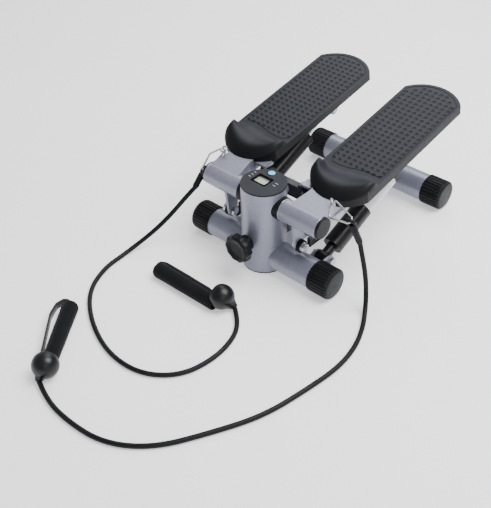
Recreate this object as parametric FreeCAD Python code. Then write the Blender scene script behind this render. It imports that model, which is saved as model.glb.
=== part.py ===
import FreeCAD, Part
import math
import os

# Mini stepper with resistance bands. Millimetres, +Z up, floor at z = 0.
# The origin is on the floor under the post's axis. The console looks up, the knob is on the -Y side,
# and the pedals run back along +Y. Left and right are the user's, standing on the pedals and facing
# the post, so left is +X.

V = FreeCAD.Vector
os.makedirs("parts", exist_ok=True)

# ---- driving dimensions: base frame ----
post_radius = 38.0
post_wall = 2.5
console_top = 160.0
foot_flange = 3.0
foot_spigot = 12.0
foot_wall = 4.0
tube_radius = 25.0
tube_wall = 2.0
base_width = 302.0
rear_distance = 324.0
cap_radius = 27.0
cap_length = 39.8
cap_end_wall = 4.0
beam_width = 40.0
beam_wall = 2.0

# ---- driving dimensions: axle and pedal arms ----
axle_height = 126.8
axle_radius = 8.0
axle_half_length = 108.0
sleeve_radius = 19.0
sleeve_wall = 3.0
sleeve_inner_x = 44.0
sleeve_outer_x = 119.0
bush_length = 15.0
spacer_radius = 20.0
sleeve_cap_thickness = 4.5
sleeve_cap_spigot = 8.0
lever_x = 70.5
lever_thickness = 5.0
lever_drop = 56.8
lever_offset = 1.0
lever_root = 16.0
bumper_radius = 11.0
bumper_width = 6.0
arm_inner_x = 57.0
arm_outer_x = 119.0
arm_taper = 6.5
arm_taper_length = 37.0
arm_length = 305.0
arm_depth = 24.0
arm_wall = 2.5
pedal_slope = 9.87

# ---- driving dimensions: pedals ----
pedal_x = 94.2
pedal_half_width = 56.2
pedal_plane_height = 149.8
pedal_front = 37.0
pedal_shoulder = 75.0
pedal_heel_corner = 336.6
pedal_heel_tip = 365.0
pedal_top_wall = 4.0
pedal_skirt_depth = 15.0
pedal_skirt_wall = 4.0
lip_height = 16.0
lip_end = 97.0
lip_width = 13.0

# ---- driving dimensions: hydraulic cylinders ----
cylinder_low = (40.0, 30.0)
cylinder_high = (290.0, 135.0)
cylinder_radius = 17.5
cylinder_wall = 2.5
cylinder_start = 26.0
cylinder_end = 196.0
cylinder_base = 12.0
cylinder_gland = 6.0
neck_radius = 9.0
eye_radius = 11.0
eye_width = 20.0
rod_radius = 5.0
rod_eye_width = 16.0
pin_radius = 4.0
pin_head_radius = 6.5
pin_head = 3.0
pin_clip_radius = 5.5
pin_clip = 2.0
piston_start = 118.0
piston_length = 12.0
ear_thickness = 3.0
bracket_root = 15.0
open_pivot_clearance = 2.0

# ---- driving dimensions: equaliser ----
rocker_y = 57.0
rocker_pivot_height = 124.0
rocker_half_length = 37.0
rocker_depth = 13.0
rocker_height = 24.0
rocker_bolt_radius = 5.0
roller_x = 46.0
roller_height = 135.0
roller_radius = 9.0
roller_length = 14.0
roller_crown = 2.0
roller_pin_radius = 4.0
roller_pin_proud = 2.0
cheek_width = 8.0
cheek_rise = 6.0
rocker_boss_radius = 11.0
rocker_bolt_grip = 10.0
rocker_nut_flats = 15.0
roller_gap = 0.5
tab_thickness = 4.5
tab_reach = 8.0
tab_half_width = 10.0

# ---- driving dimensions: step height adjuster ----
knob_height = 63.0
knob_radius = 22.5
knob_depth = 15.0
knob_face_y = -69.0
knob_lobes = 7
knob_scallop = 8.0
knob_scallop_offset = 5.0
knob_hub_radius = 14.0
knob_hub_length = 12.0
rod_screw_radius = 6.0
rod_screw_end = 66.0
yoke_y = 44.0
yoke_thickness = 8.0
yoke_height = 17.0
yoke_half_length = 80.0
yoke_arm_width = 6.5
yoke_stop_y = 22.5
yoke_boss_radius = 10.0
yoke_boss_length = 6.0

# ---- driving dimensions: console ----
console_flange = 2.0
console_depth = 22.0
console_wall = 2.5
console_face = 5.0
cell_radius = 10.0
cell_thickness = 3.2
button_slot = 0.4
window_size = (30.0, 24.0)
window_centre = (-6.0, 3.0)
window_recess = 3.0
window_thickness = 1.2
window_gap = 0.2
lcd_thickness = 2.0
board_radius = 31.0
board_thickness = 1.6
button_centre = (-6.5, 27.3)
button_radii = (6.0, 5.6)
button_height = 5.0
button_proud = 0.8

# ---- driving dimensions: resistance bands ----
cord_diameter = 8.0
hook_wire = 3.0
eye_ring_radius = 5.5
eye_wire_radius = 1.6
eye_foot_x = 111.5
hook_bend = 6.0
loop_radius = 6.5
loop_wire_radius = 2.8
ferrule_radius = 6.0
grip_radius = 12.5
grip_length = 128.0
grip_bore = 8.0
dome_radius = 21.0
dome_skirt = 12.0
strap_width = 13.0
strap_thickness = 2.5

# ---- driving dimensions: fasteners and lugs ----
nut_flats = 13.0
nut_height = 6.5
head_height = 5.5
washer_thickness = 1.0
bolt_proud = 8.0
end_washer_radius = 13.0
end_bolt_shank = 18.0
end_washer_thickness = 2.0
lug_radius = 10.0
lug_play = 1.5

# ---- clearances ----
running = 0.05
slip = 0.1
side_gap = 0.3
overrun = 1.0

tube_height = cap_radius
arm_plane_height = axle_height + sleeve_radius + 0.2
slope = math.radians(pedal_slope)
link_y = cylinder_high[0] - cylinder_low[0]
link_z = cylinder_high[1] - cylinder_low[1]
link_length = math.hypot(link_y, link_z)
link_angle = math.degrees(math.atan2(link_z, link_y))


# ---- shape helpers ----
def cylinder(radius, start, end):
    """Solid cylinder of a radius between two points."""
    start = V(*start)
    axis = V(*end) - start
    return Part.makeCylinder(radius, axis.Length, start, axis)


def ring(outer, inner, start, end):
    """Hollow cylinder between two points."""
    return cylinder(outer, start, end).cut(cylinder(inner, start, end))


def block(x_range, y_range, z_range):
    """Box between low and high values, in any order."""
    lows = [min(pair) for pair in (x_range, y_range, z_range)]
    sizes = [abs(pair[1] - pair[0]) for pair in (x_range, y_range, z_range)]
    return Part.makeBox(*sizes, V(*lows))


def plate_x(outline, x_start, x_end):
    """Plate with an outline of (y, z) points, from one x to another."""
    points = [V(x_start, y, z) for y, z in outline]
    face = Part.Face(Part.makePolygon(points + points[:1]))
    return face.extrude(V(x_end - x_start, 0, 0))


def prism_z(wire, z_start, z_end):
    """Solid under a closed flat wire drawn at z = 0."""
    solid = Part.Face(wire).extrude(V(0, 0, z_end - z_start))
    solid.translate(V(0, 0, z_start))
    return solid


def hexagon(across_flats, start, end):
    """Hexagonal bar between two points on one axis."""
    axis = V(*end) - V(*start)
    corners = [V(math.cos(math.radians(60 * k)), math.sin(math.radians(60 * k)), 0) for k in range(7)]
    scale = across_flats / math.sqrt(3)
    bar = Part.Face(Part.makePolygon([c * scale for c in corners])).extrude(V(0, 0, axis.Length))
    bar.Placement = FreeCAD.Placement(V(*start), FreeCAD.Rotation(V(0, 0, 1), axis))
    return bar


def fuse(*shapes):
    """One solid from shapes that overlap."""
    return shapes[0].multiFuse(list(shapes[1:])).removeSplitter()


def tilted(shape, height):
    """Turn a shape drawn level up to the pedal's slope, about the axle's plane at a height."""
    turned = shape.copy()
    turned.rotate(V(0, 0, 0), V(1, 0, 0), pedal_slope)
    turned.translate(V(0, 0, height))
    return turned


def mirrored(shape, side):
    """The shape for the left side (+1) or its mirror image for the right side (-1)."""
    return shape if side > 0 else shape.mirror(V(0, 0, 0), V(1, 0, 0))


def along_link(distance, x=pedal_x):
    """Point on the cylinder's axis, a distance up from its lower pin."""
    turn = math.radians(link_angle)
    return (x, cylinder_low[0] + distance * math.cos(turn), cylinder_low[1] + distance * math.sin(turn))


def save(name, *solids):
    """Write one node, from one solid or a group of separate solids."""
    shape = solids[0] if len(solids) == 1 else Part.makeCompound(list(solids))
    if not shape.isValid() or any(solid.Volume <= 0 for solid in shape.Solids):
        print("bad shape:", name)
    shape.exportStep("parts/" + name + ".step")


# ---- base frame ----
def make_frame():
    tube_end = base_width / 2 - cap_end_wall
    front_bar = cylinder(tube_radius, (-tube_end, 0, tube_height), (tube_end, 0, tube_height))
    post_top = console_top - console_flange
    post = ring(post_radius, post_radius - post_wall, (0, 0, foot_flange), (0, 0, post_top))
    post = post.cut(front_bar)
    post = post.cut(cylinder(axle_radius, (-post_radius, 0, axle_height), (post_radius, 0, axle_height)))
    bore = rod_screw_radius + slip
    post = post.cut(cylinder(bore, (0, -post_radius, knob_height), (0, post_radius, knob_height)))
    save("post", post)

    inner = post_radius - post_wall
    foot = fuse(cylinder(post_radius - overrun, (0, 0, 0), (0, 0, foot_flange)),
                cylinder(inner, (0, 0, 0), (0, 0, foot_flange + foot_spigot)))
    foot = foot.cut(cylinder(inner - foot_wall, (0, 0, foot_flange), (0, 0, foot_flange + foot_spigot)))
    save("post_foot", foot.cut(front_bar))

    for name, y in (("front", 0), ("rear", rear_distance)):
        tube = ring(tube_radius, tube_radius - tube_wall, (-tube_end, y, tube_height),
                    (tube_end, y, tube_height))
        save(name + "_tube", tube)
        save(name + "_caps", *[make_cap(side, y) for side in (1, -1)])

    half = beam_width / 2
    depth = (tube_height - half, tube_height + half)
    beam = block((-half, half), (0, rear_distance), depth)
    hollow = (tube_height - half + beam_wall, tube_height + half - beam_wall)
    beam = beam.cut(block((beam_wall - half, half - beam_wall), (0, rear_distance), hollow))
    beam = beam.cut(cylinder(post_radius, (0, 0, 0), (0, 0, console_top)))
    rear_bar = cylinder(tube_radius, (-tube_end, rear_distance, tube_height),
                        (tube_end, rear_distance, tube_height))
    beam = beam.cut(rear_bar)
    save("centre_beam", max(beam.Solids, key=lambda solid: solid.Volume))


def make_cap(side, y):
    end = base_width / 2
    start = end - cap_length
    outside = cylinder(cap_radius, (start, y, tube_height), (end, y, tube_height))
    rim = [edge for edge in outside.Edges
           if abs(edge.CenterOfMass.x - end) < 0.1 and edge.Curve.TypeId == "Part::GeomCircle"]
    outside = outside.makeFillet(cap_end_wall - 0.5, rim)
    cap = outside.cut(cylinder(tube_radius, (start, y, tube_height),
                               (end - cap_end_wall, y, tube_height)))
    return mirrored(cap, side)


# ---- axle through the post, with its spacers and end bolts ----
def make_axle():
    axle = cylinder(axle_radius, (-axle_half_length, 0, axle_height), (axle_half_length, 0, axle_height))
    bolts = []
    spacers = []
    for side in (1, -1):
        end = side * axle_half_length
        shaft = cylinder(pin_radius, (end - side * end_bolt_shank, 0, axle_height),
                         (end + side * overrun, 0, axle_height))
        axle = axle.cut(shaft)
        under_head = end + side * end_washer_thickness
        washer = cylinder(end_washer_radius, (end, 0, axle_height), (under_head, 0, axle_height))
        head = hexagon(nut_flats, (under_head, 0, axle_height),
                       (under_head + side * head_height, 0, axle_height))
        bolts.append(fuse(shaft, washer, head))
        spacer = ring(spacer_radius, axle_radius + running, (side * post_radius / 2, 0, axle_height),
                      (side * (sleeve_inner_x - side_gap), 0, axle_height))
        spacers.append(spacer.cut(cylinder(post_radius, (0, 0, 0), (0, 0, console_top))))
    save("axle", axle)
    save("axle_bolts", *bolts)
    save("axle_spacers", *spacers)


# ---- one pedal, its arm and what is fastened to it ----
def make_sleeve(side, name):
    bore = sleeve_radius - sleeve_wall
    outside = cylinder(sleeve_radius, (sleeve_inner_x, 0, axle_height), (sleeve_outer_x, 0, axle_height))
    lever_end = axle_height - lever_drop
    outline = [(-lever_root, axle_height), (lever_root, axle_height),
               (lever_offset + lug_radius, lever_end), (lever_offset - lug_radius, lever_end)]
    lever_back = lever_x + lever_thickness
    lever = plate_x(outline, lever_x, lever_back)
    tip = ((lever_x, lever_offset, lever_end), (lever_back, lever_offset, lever_end))
    body = fuse(outside, lever, cylinder(lug_radius, *tip))
    body = body.cut(cylinder(pin_radius, *tip))
    body = body.cut(cylinder(bore, (sleeve_inner_x, 0, axle_height), (sleeve_outer_x, 0, axle_height)))
    save(name + "_sleeve", mirrored(body, side))

    bushes = []
    bush_starts = (sleeve_inner_x + 0.5, axle_half_length - 0.5 - bush_length)
    for start in bush_starts:
        bush = ring(bore, axle_radius + running, (start, 0, axle_height),
                    (start + bush_length, 0, axle_height))
        bushes.append(mirrored(bush, side))
    save(name + "_bushes", *bushes)

    cap_end = sleeve_outer_x + sleeve_cap_thickness
    disc = cylinder(sleeve_radius - 0.5, (sleeve_outer_x, 0, axle_height), (cap_end, 0, axle_height))
    rim = [edge for edge in disc.Edges
           if abs(edge.CenterOfMass.x - cap_end) < 0.1 and edge.Curve.TypeId == "Part::GeomCircle"]
    disc = disc.makeFillet(2, rim)
    spigot = ring(bore, bore - 2, (sleeve_outer_x - sleeve_cap_spigot, 0, axle_height),
                  (sleeve_outer_x + 1, 0, axle_height))
    save(name + "_sleeve_cap", mirrored(fuse(disc, spigot), side))

    bumper_end = lever_back + bumper_width
    bumper = ring(bumper_radius, pin_radius, (lever_back, lever_offset, lever_end),
                  (bumper_end, lever_offset, lever_end))
    save(name + "_bumper", mirrored(bumper, side))
    washer_end = bumper_end + washer_thickness
    head_start = (lever_x - head_height, lever_offset, lever_end)
    nut_start = (washer_end, lever_offset, lever_end)
    bolt = fuse(cylinder(pin_radius, head_start, (washer_end + bolt_proud, lever_offset, lever_end)),
                hexagon(nut_flats, head_start, (lever_x, lever_offset, lever_end)))
    nut = fuse(cylinder(2 * pin_radius, (bumper_end, lever_offset, lever_end), nut_start),
               hexagon(nut_flats, nut_start, (washer_end + nut_height, lever_offset, lever_end)))
    nut = nut.cut(bolt)
    save(name + "_bumper_bolt", mirrored(bolt, side), mirrored(nut, side))


def arm_outline(inset):
    """Plan of the pressed arm as (x, distance along the slope), drawn inwards by an inset."""
    narrow_in = arm_inner_x + arm_taper + inset
    narrow_out = arm_outer_x - arm_taper - inset
    points = [(arm_inner_x + inset, 0), (arm_outer_x - inset, 0), (narrow_out, arm_taper_length),
              (narrow_out, arm_length - inset), (narrow_in, arm_length - inset),
              (narrow_in, arm_taper_length)]
    vectors = [V(x, y, 0) for x, y in points]
    return Part.makePolygon(vectors + vectors[:1])


def make_arm(side, name):
    channel = prism_z(arm_outline(0), -arm_depth, 0)
    channel = channel.cut(prism_z(arm_outline(arm_wall), -arm_depth, -arm_wall))
    channel = tilted(channel, arm_plane_height)
    channel = channel.cut(cylinder(sleeve_radius, (0, 0, axle_height), (base_width, 0, axle_height)))
    channel = max(channel.Solids, key=lambda solid: solid.Volume)

    pin_y, pin_z = cylinder_high
    half_gap = rod_eye_width / 2 + lug_play
    ears = []
    for direction in (1, -1):
        start = pedal_x + direction * half_gap
        end = start + direction * ear_thickness
        lift = math.tan(slope)
        hung = arm_plane_height - arm_wall + overrun
        root_front = pin_y - lug_radius - ear_thickness
        root_back = pin_y + lug_radius + ear_thickness
        outline = [(root_front, hung + root_front * lift), (root_back, hung + root_back * lift),
                   (pin_y + lug_radius, pin_z), (pin_y - lug_radius, pin_z)]
        ear = fuse(plate_x(outline, start, end),
                   cylinder(lug_radius, (start, pin_y, pin_z), (end, pin_y, pin_z)))
        ears.append(ear)
    roller_top = roller_height + roller_radius + roller_gap
    wall_x = arm_inner_x + arm_taper + arm_wall / 2
    tab = block((roller_x - tab_reach, wall_x), (rocker_y - tab_half_width, rocker_y + tab_half_width),
                (roller_top, roller_top + tab_thickness))
    arm = fuse(channel, ears[0], ears[1], tab)
    pin_reach = half_gap + ear_thickness
    arm = arm.cut(cylinder(pin_radius, (pedal_x - pin_reach - 1, pin_y, pin_z),
                           (pedal_x + pin_reach + 1, pin_y, pin_z)))
    eye_ring, eye_foot = band_eye(hooks[name], side)
    save(name + "_band_eye", fuse(eye_ring, eye_foot))
    save(name + "_pedal_arm", mirrored(arm, side).cut(eye_foot))

    outer_end = pedal_x + pin_reach
    inner_end = pedal_x - pin_reach
    pin = fuse(cylinder(pin_radius, (inner_end, pin_y, pin_z), (outer_end, pin_y, pin_z)),
               cylinder(pin_head_radius, (outer_end, pin_y, pin_z), (outer_end + pin_head, pin_y, pin_z)),
               cylinder(pin_clip_radius, (inner_end - pin_clip, pin_y, pin_z), (inner_end, pin_y, pin_z)))
    save(name + "_rod_pin", mirrored(pin, side))


def pedal_outline(inset, rear_limit=None):
    """Plan of a pedal: round toe, straight sides and a shallow round heel."""
    half = pedal_half_width - inset
    front = pedal_front + inset
    heel = pedal_heel_tip - inset
    toe = Part.Arc(V(pedal_x - half, pedal_shoulder, 0), V(pedal_x, front, 0),
                   V(pedal_x + half, pedal_shoulder, 0)).toShape()
    if rear_limit is None:
        back = Part.Arc(V(pedal_x + half, pedal_heel_corner, 0), V(pedal_x, heel, 0),
                        V(pedal_x - half, pedal_heel_corner, 0)).toShape()
        rear_y = pedal_heel_corner
    else:
        rear_y = rear_limit
        back = Part.makeLine(V(pedal_x + half, rear_y, 0), V(pedal_x - half, rear_y, 0))
    left = Part.makeLine(V(pedal_x + half, pedal_shoulder, 0), V(pedal_x + half, rear_y, 0))
    right = Part.makeLine(V(pedal_x - half, rear_y, 0), V(pedal_x - half, pedal_shoulder, 0))
    return Part.Wire([toe, left, back, right])


def make_pedal(side, name):
    shell = prism_z(pedal_outline(0), -pedal_skirt_depth, 0)
    shell = shell.cut(prism_z(pedal_outline(pedal_skirt_wall), -pedal_skirt_depth, -pedal_top_wall))
    arm_slot = block((arm_inner_x - 1, arm_outer_x + 1), (0, pedal_shoulder),
                     (-pedal_skirt_depth - 1, -pedal_top_wall))
    shell = shell.cut(arm_slot)
    lip = prism_z(pedal_outline(0, lip_end), -pedal_top_wall, lip_height)
    scoop = prism_z(pedal_outline(lip_width, lip_end + 1), 0, lip_height + 1)
    pedal = tilted(fuse(shell, lip.cut(scoop)), pedal_plane_height)
    clear = tilted(prism_z(arm_outline(-side_gap), -arm_depth, 0), arm_plane_height)
    tab_top = roller_height + roller_radius + roller_gap + tab_thickness
    notch_half = tab_half_width + overrun
    notch = block((roller_x - tab_reach - overrun, arm_inner_x + arm_taper + overrun),
                  (rocker_y - notch_half, rocker_y + notch_half), (roller_height, tab_top + side_gap))
    pedal = pedal.cut(clear).cut(notch)
    pedal = max(pedal.Solids, key=lambda solid: solid.Volume)
    save(name + "_pedal", mirrored(pedal, side))


# ---- one hydraulic cylinder: bracket on the front tube, body, rod ----
def make_damper(side, name):
    low_y, low_z = cylinder_low
    half_gap = eye_width / 2 + lug_play
    front_bar = cylinder(tube_radius, (0, 0, tube_height), (base_width, 0, tube_height))
    ears = []
    for direction in (1, -1):
        start = pedal_x + direction * half_gap
        end = start + direction * ear_thickness
        outline = [(bracket_root, low_z - lug_radius), (low_y, low_z - lug_radius),
                   (low_y, low_z + lug_radius), (bracket_root, low_z + lug_radius)]
        ear = fuse(plate_x(outline, start, end),
                   cylinder(lug_radius, (start, low_y, low_z), (end, low_y, low_z)))
        ear = ear.cut(front_bar)
        ear = ear.cut(cylinder(pin_radius, (start, low_y, low_z), (end, low_y, low_z)))
        ears.append(mirrored(ear, side))
    save(name + "_cylinder_bracket", *ears)

    inner = cylinder_radius - cylinder_wall
    eye_start = pedal_x - eye_width / 2
    eye = cylinder(eye_radius, (eye_start, low_y, low_z), (eye_start + eye_width, low_y, low_z))
    body = fuse(eye, cylinder(neck_radius, along_link(0), along_link(cylinder_start + overrun)),
                cylinder(cylinder_radius, along_link(cylinder_start), along_link(cylinder_end)))
    bore_end = cylinder_end - cylinder_gland
    body = body.cut(cylinder(inner, along_link(cylinder_start + cylinder_base), along_link(bore_end)))
    body = body.cut(cylinder(rod_radius + running, along_link(bore_end - overrun),
                             along_link(cylinder_end + overrun)))
    body = body.cut(cylinder(pin_radius + running, (pedal_x - eye_width, low_y, low_z),
                             (pedal_x + eye_width, low_y, low_z)))
    save(name + "_cylinder", mirrored(body, side))

    high = along_link(link_length)
    half = rod_eye_width / 2
    rod_eye = cylinder(eye_radius, (pedal_x - half, high[1], high[2]), (pedal_x + half, high[1], high[2]))
    rod = fuse(cylinder(rod_radius, along_link(piston_start), along_link(link_length)),
               cylinder(inner - running, along_link(piston_start), along_link(piston_start + piston_length)),
               rod_eye)
    rod = rod.cut(cylinder(pin_radius + open_pivot_clearance, (pedal_x - 2 * half, high[1], high[2]),
                           (pedal_x + 2 * half, high[1], high[2])))
    save(name + "_piston_rod", mirrored(rod, side))


def make_damper_bolts():
    low_y, low_z = cylinder_low
    reach = eye_width / 2 + lug_play + ear_thickness
    bolts = []
    for side in (1, -1):
        inner_end = pedal_x - reach
        outer_end = pedal_x + reach
        bolt = fuse(cylinder(pin_radius, (inner_end, low_y, low_z), (outer_end, low_y, low_z)),
                    hexagon(nut_flats, (inner_end - head_height, low_y, low_z), (inner_end, low_y, low_z)),
                    hexagon(nut_flats, (outer_end, low_y, low_z), (outer_end + nut_height, low_y, low_z)))
        bolts.append(mirrored(bolt, side))
    save("cylinder_bolts", *bolts)


# ---- rocker behind the post, which makes one pedal rise as the other sinks ----
def make_rocker():
    z = rocker_pivot_height
    front = rocker_y - rocker_depth / 2
    back = rocker_y + rocker_depth / 2
    boss = cylinder(rocker_boss_radius, (0, post_radius / 2, z), (0, front - side_gap, z))
    boss = boss.cut(cylinder(post_radius, (0, 0, 0), (0, 0, console_top)))
    bolt_start = front - side_gap - rocker_bolt_grip
    boss = boss.cut(cylinder(rocker_bolt_radius, (0, bolt_start, z), (0, front, z)))
    save("rocker_boss", boss)

    washer_start = back + side_gap
    nut_start = washer_start + washer_thickness
    nut_end = nut_start + nut_height
    bolt = cylinder(rocker_bolt_radius, (0, bolt_start, z), (0, nut_end + overrun, z))
    washer = ring(2 * rocker_bolt_radius, rocker_bolt_radius, (0, washer_start, z), (0, nut_start, z))
    nut = hexagon(rocker_nut_flats, (0, nut_start, z), (0, nut_end, z)).cut(bolt)
    save("rocker_bolt", bolt, fuse(washer, nut))

    bar = block((-rocker_half_length, rocker_half_length), (front, back), (z - rocker_height / 2,
                                                                           z + rocker_height / 2))
    pin_start = rocker_half_length - cheek_width / 2
    pin_end = roller_x + roller_length / 2 + roller_pin_proud
    stubs = [cylinder(roller_pin_radius, (side * pin_start, rocker_y, roller_height),
                      (side * pin_end, rocker_y, roller_height)) for side in (1, -1)]
    cheeks = [block((side * (rocker_half_length - cheek_width), side * rocker_half_length), (front, back),
                    (z, roller_height + cheek_rise)) for side in (1, -1)]
    bar = fuse(bar, *(stubs + cheeks))
    bar = bar.cut(cylinder(rocker_bolt_radius + running, (0, front - 1, z), (0, back + 1, z)))
    save("rocker_bar", bar)

    half = roller_length / 2
    edge = roller_radius - roller_crown
    for side, name in ((1, "left"), (-1, "right")):
        profile = Part.Wire([
            Part.makeLine(V(-half, 0, 0), V(-half, edge, 0)),
            Part.Arc(V(-half, edge, 0), V(0, roller_radius, 0), V(half, edge, 0)).toShape(),
            Part.makeLine(V(half, edge, 0), V(half, 0, 0)),
            Part.makeLine(V(half, 0, 0), V(-half, 0, 0))])
        roller = Part.Face(profile).revolve(V(0, 0, 0), V(1, 0, 0), 360)
        roller.translate(V(side * roller_x, rocker_y, roller_height))
        bore_start = (side * (roller_x - roller_length), rocker_y, roller_height)
        bore_end = (side * (roller_x + roller_length), rocker_y, roller_height)
        bore = cylinder(roller_pin_radius + slip, bore_start, bore_end)
        save(name + "_roller", roller.cut(bore))


# ---- knob, screw and yoke that set the step height ----
def make_adjuster():
    face = knob_face_y
    z = knob_height
    knob = cylinder(knob_radius, (0, face, z), (0, face + knob_depth, z))
    for k in range(knob_lobes):
        turn = 2 * math.pi * (k + 0.5) / knob_lobes
        x = (knob_radius + knob_scallop_offset) * math.cos(turn)
        dz = (knob_radius + knob_scallop_offset) * math.sin(turn)
        knob = knob.cut(cylinder(knob_scallop, (x, face - overrun, z + dz),
                                 (x, face + knob_depth + overrun, z + dz)))
    knob = fuse(knob, cylinder(knob_hub_radius, (0, face + knob_depth, z),
                               (0, face + knob_depth + knob_hub_length, z)))
    screw_start = face + knob_depth / 2
    knob = knob.cut(cylinder(rod_screw_radius, (0, screw_start, z), (0, 0, z)))
    save("knob", knob)
    save("adjuster_screw", cylinder(rod_screw_radius, (0, screw_start, z), (0, rod_screw_end, z)))

    low = z - yoke_height / 2
    high = z + yoke_height / 2
    yoke = block((-yoke_half_length, yoke_half_length), (yoke_y, yoke_y + yoke_thickness), (low, high))
    for side in (1, -1):
        inner = side * (yoke_half_length - yoke_arm_width)
        arm = block((inner, side * yoke_half_length), (yoke_stop_y, yoke_y + overrun), (low, high))
        yoke = fuse(yoke, arm)
    boss_end = yoke_y + yoke_thickness + yoke_boss_length
    yoke = fuse(yoke, cylinder(yoke_boss_radius, (0, yoke_y, z), (0, boss_end, z)))
    yoke = yoke.cut(cylinder(rod_screw_radius + running, (0, yoke_y - overrun, z),
                             (0, boss_end + overrun, z)))
    save("height_yoke", yoke)


# ---- console in the top of the post ----
def make_console():
    top = console_top
    outer = post_radius
    skirt = post_radius - post_wall - slip
    flange_low = top - console_flange
    housing = fuse(cylinder(outer, (0, 0, flange_low), (0, 0, top)),
                   cylinder(skirt, (0, 0, top - console_depth), (0, 0, top)))
    housing = housing.cut(cylinder(skirt - console_wall, (0, 0, top - console_depth),
                                   (0, 0, top - console_face)))
    win_x, win_y = window_centre
    half_x = window_size[0] / 2
    half_y = window_size[1] / 2
    cut_from = top - console_face - overrun
    cut_to = top + overrun
    opening = block((win_x - half_x, win_x + half_x), (win_y - half_y, win_y + half_y), (cut_from, cut_to))
    housing = housing.cut(opening)
    button_x, button_y = button_centre
    ellipse = Part.Ellipse(V(button_x, button_y, 0), button_radii[0] + button_slot,
                           button_radii[1] + button_slot)
    housing = housing.cut(prism_z(Part.Wire(ellipse.toShape()), cut_from, cut_to))
    save("console_housing", housing)

    pane_top = top - window_recess
    pane = block((win_x - half_x, win_x + half_x), (win_y - half_y, win_y + half_y),
                 (pane_top - window_thickness, pane_top))
    save("console_window", pane)
    lcd_top = pane_top - window_thickness - window_gap
    lcd = block((win_x - half_x, win_x + half_x), (win_y - half_y, win_y + half_y),
                (lcd_top - lcd_thickness, lcd_top))
    save("lcd_panel", lcd)
    board_top = lcd_top - lcd_thickness
    board = cylinder(board_radius, (0, 0, board_top - board_thickness), (0, 0, board_top))
    save("circuit_board", board)
    cell_top = board_top - board_thickness
    save("coin_cell", cylinder(cell_radius, (0, 0, cell_top - cell_thickness), (0, 0, cell_top)))

    cap = Part.Ellipse(V(button_x, button_y, 0), *button_radii)
    bottom = top + button_proud - button_height
    button = prism_z(Part.Wire(cap.toShape()), bottom, top + button_proud)
    save("console_button", button)


# ---- resistance bands ----
def cord_tube(points, diameter, label):
    """Tube along straight runs joined by tangent arcs, each arc as large as its two runs allow."""
    corners = [V(*p) for p in points]
    edges = []
    last = corners[0]
    length = 0.0
    radii = []
    for before, corner, after in zip(corners, corners[1:], corners[2:]):
        into = (corner - before).normalize()
        out = (after - corner).normalize()
        turn = into.getAngle(out)
        shorter = min((corner - before).Length, (after - corner).Length)
        reach = 0.45 * shorter
        radius = reach / math.tan(turn / 2)
        radii.append(radius)
        start = corner - into * reach
        end = corner + out * reach
        side = (out - into).normalize()
        middle = corner + side * (radius / math.cos(turn / 2) - radius)
        edges.append(Part.makeLine(last, start))
        edges.append(Part.Arc(start, middle, end).toShape())
        length += (start - last).Length + radius * turn
        last = end
    edges.append(Part.makeLine(last, corners[-1]))
    length += (corners[-1] - last).Length
    path = Part.Wire(edges)
    heading = corners[1] - corners[0]
    section = Part.Wire(Part.Circle(corners[0], heading, diameter / 2).toShape())
    tube = path.makePipeShell([section], True, True)
    expected = math.pi * diameter ** 2 / 4 * length
    print(label, "length %.1f" % length, "volume ratio %.4f" % (tube.Volume / expected),
          "smallest radius %.1f" % min(radii), "radii", [round(r) for r in radii])
    return tube


def wire_loop(centres, bend, wire_radius):
    """Closed loop of round wire bent round three centres, all with the same bend."""
    normal = (centres[1] - centres[0]).cross(centres[2] - centres[0]).normalize()
    outward = []
    for k in range(3):
        along = (centres[(k + 1) % 3] - centres[k]).normalize()
        outward.append(along.cross(normal) * bend)
    edges = []
    for k in range(3):
        here = centres[(k + 1) % 3]
        after = outward[(k + 1) % 3]
        middle = here + (outward[k] + after).normalize() * bend
        edges.append(Part.makeLine(centres[k] + outward[k], here + outward[k]))
        edges.append(Part.Arc(here + outward[k], middle, here + after).toShape())
    start = centres[0] + outward[0]
    section = Part.Wire(Part.Circle(start, centres[1] - centres[0], wire_radius).toShape())
    return Part.Wire(edges).makePipeShell([section], True, True)


def torus(centre, normal, radius, wire_radius):
    return Part.makeTorus(radius, wire_radius, V(*centre), V(*normal))


def wire_run(corners, at):
    """Direction of a hook's wire where it bends round one of its corners."""
    middle = (corners[0] + corners[1] + corners[2]) * (1 / 3)
    normal = (corners[1] - corners[0]).cross(corners[2] - corners[0])
    return normal.cross(middle - corners[at]).normalize()


def band_eye(hook_at, side):
    """Ring that a hook passes through, with a foot on the arm's top plate."""
    corners = [V(*point) for point in hook_at]
    centre = corners[1]
    normal = (corners[1] - corners[0]).cross(corners[2] - corners[0]).normalize()
    if normal.z > 0:
        normal = normal * -1
    start = centre + normal * eye_ring_radius
    plate_top = arm_plane_height + start.y * math.tan(slope)
    foot = (side * eye_foot_x, start.y, plate_top - arm_wall - 1)
    ring_solid = torus(tuple(centre), tuple(wire_run(corners, 1)), eye_ring_radius, eye_wire_radius)
    return ring_solid, cylinder(eye_wire_radius, foot, tuple(start))


def make_band(name, hook_at, cord_points):
    corners = [V(*point) for point in hook_at]
    middle = (corners[0] + corners[1] + corners[2]) * (1 / 3)
    centres = [corner + (middle - corner).normalize() * hook_bend for corner in corners]
    save(name + "_band_hook", wire_loop(centres, hook_bend, hook_wire / 2))

    top = corners[0]
    tip = V(*cord_points[0])
    heading = (tip - top).normalize()
    end_ring = torus(tuple(top), tuple(wire_run(corners, 0)), loop_radius, loop_wire_radius)
    collar_start = top + heading * (loop_radius - loop_wire_radius + 0.5)
    collar = Part.makeCylinder(ferrule_radius, (tip - collar_start).Length, collar_start, heading)
    hole = Part.makeSphere(loop_radius - loop_wire_radius + 0.2, top)
    save(name + "_band_end", fuse(end_ring, collar.cut(hole)))
    save(name + "_band_cord", cord_tube(cord_points, cord_diameter, name + " cord"))


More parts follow.
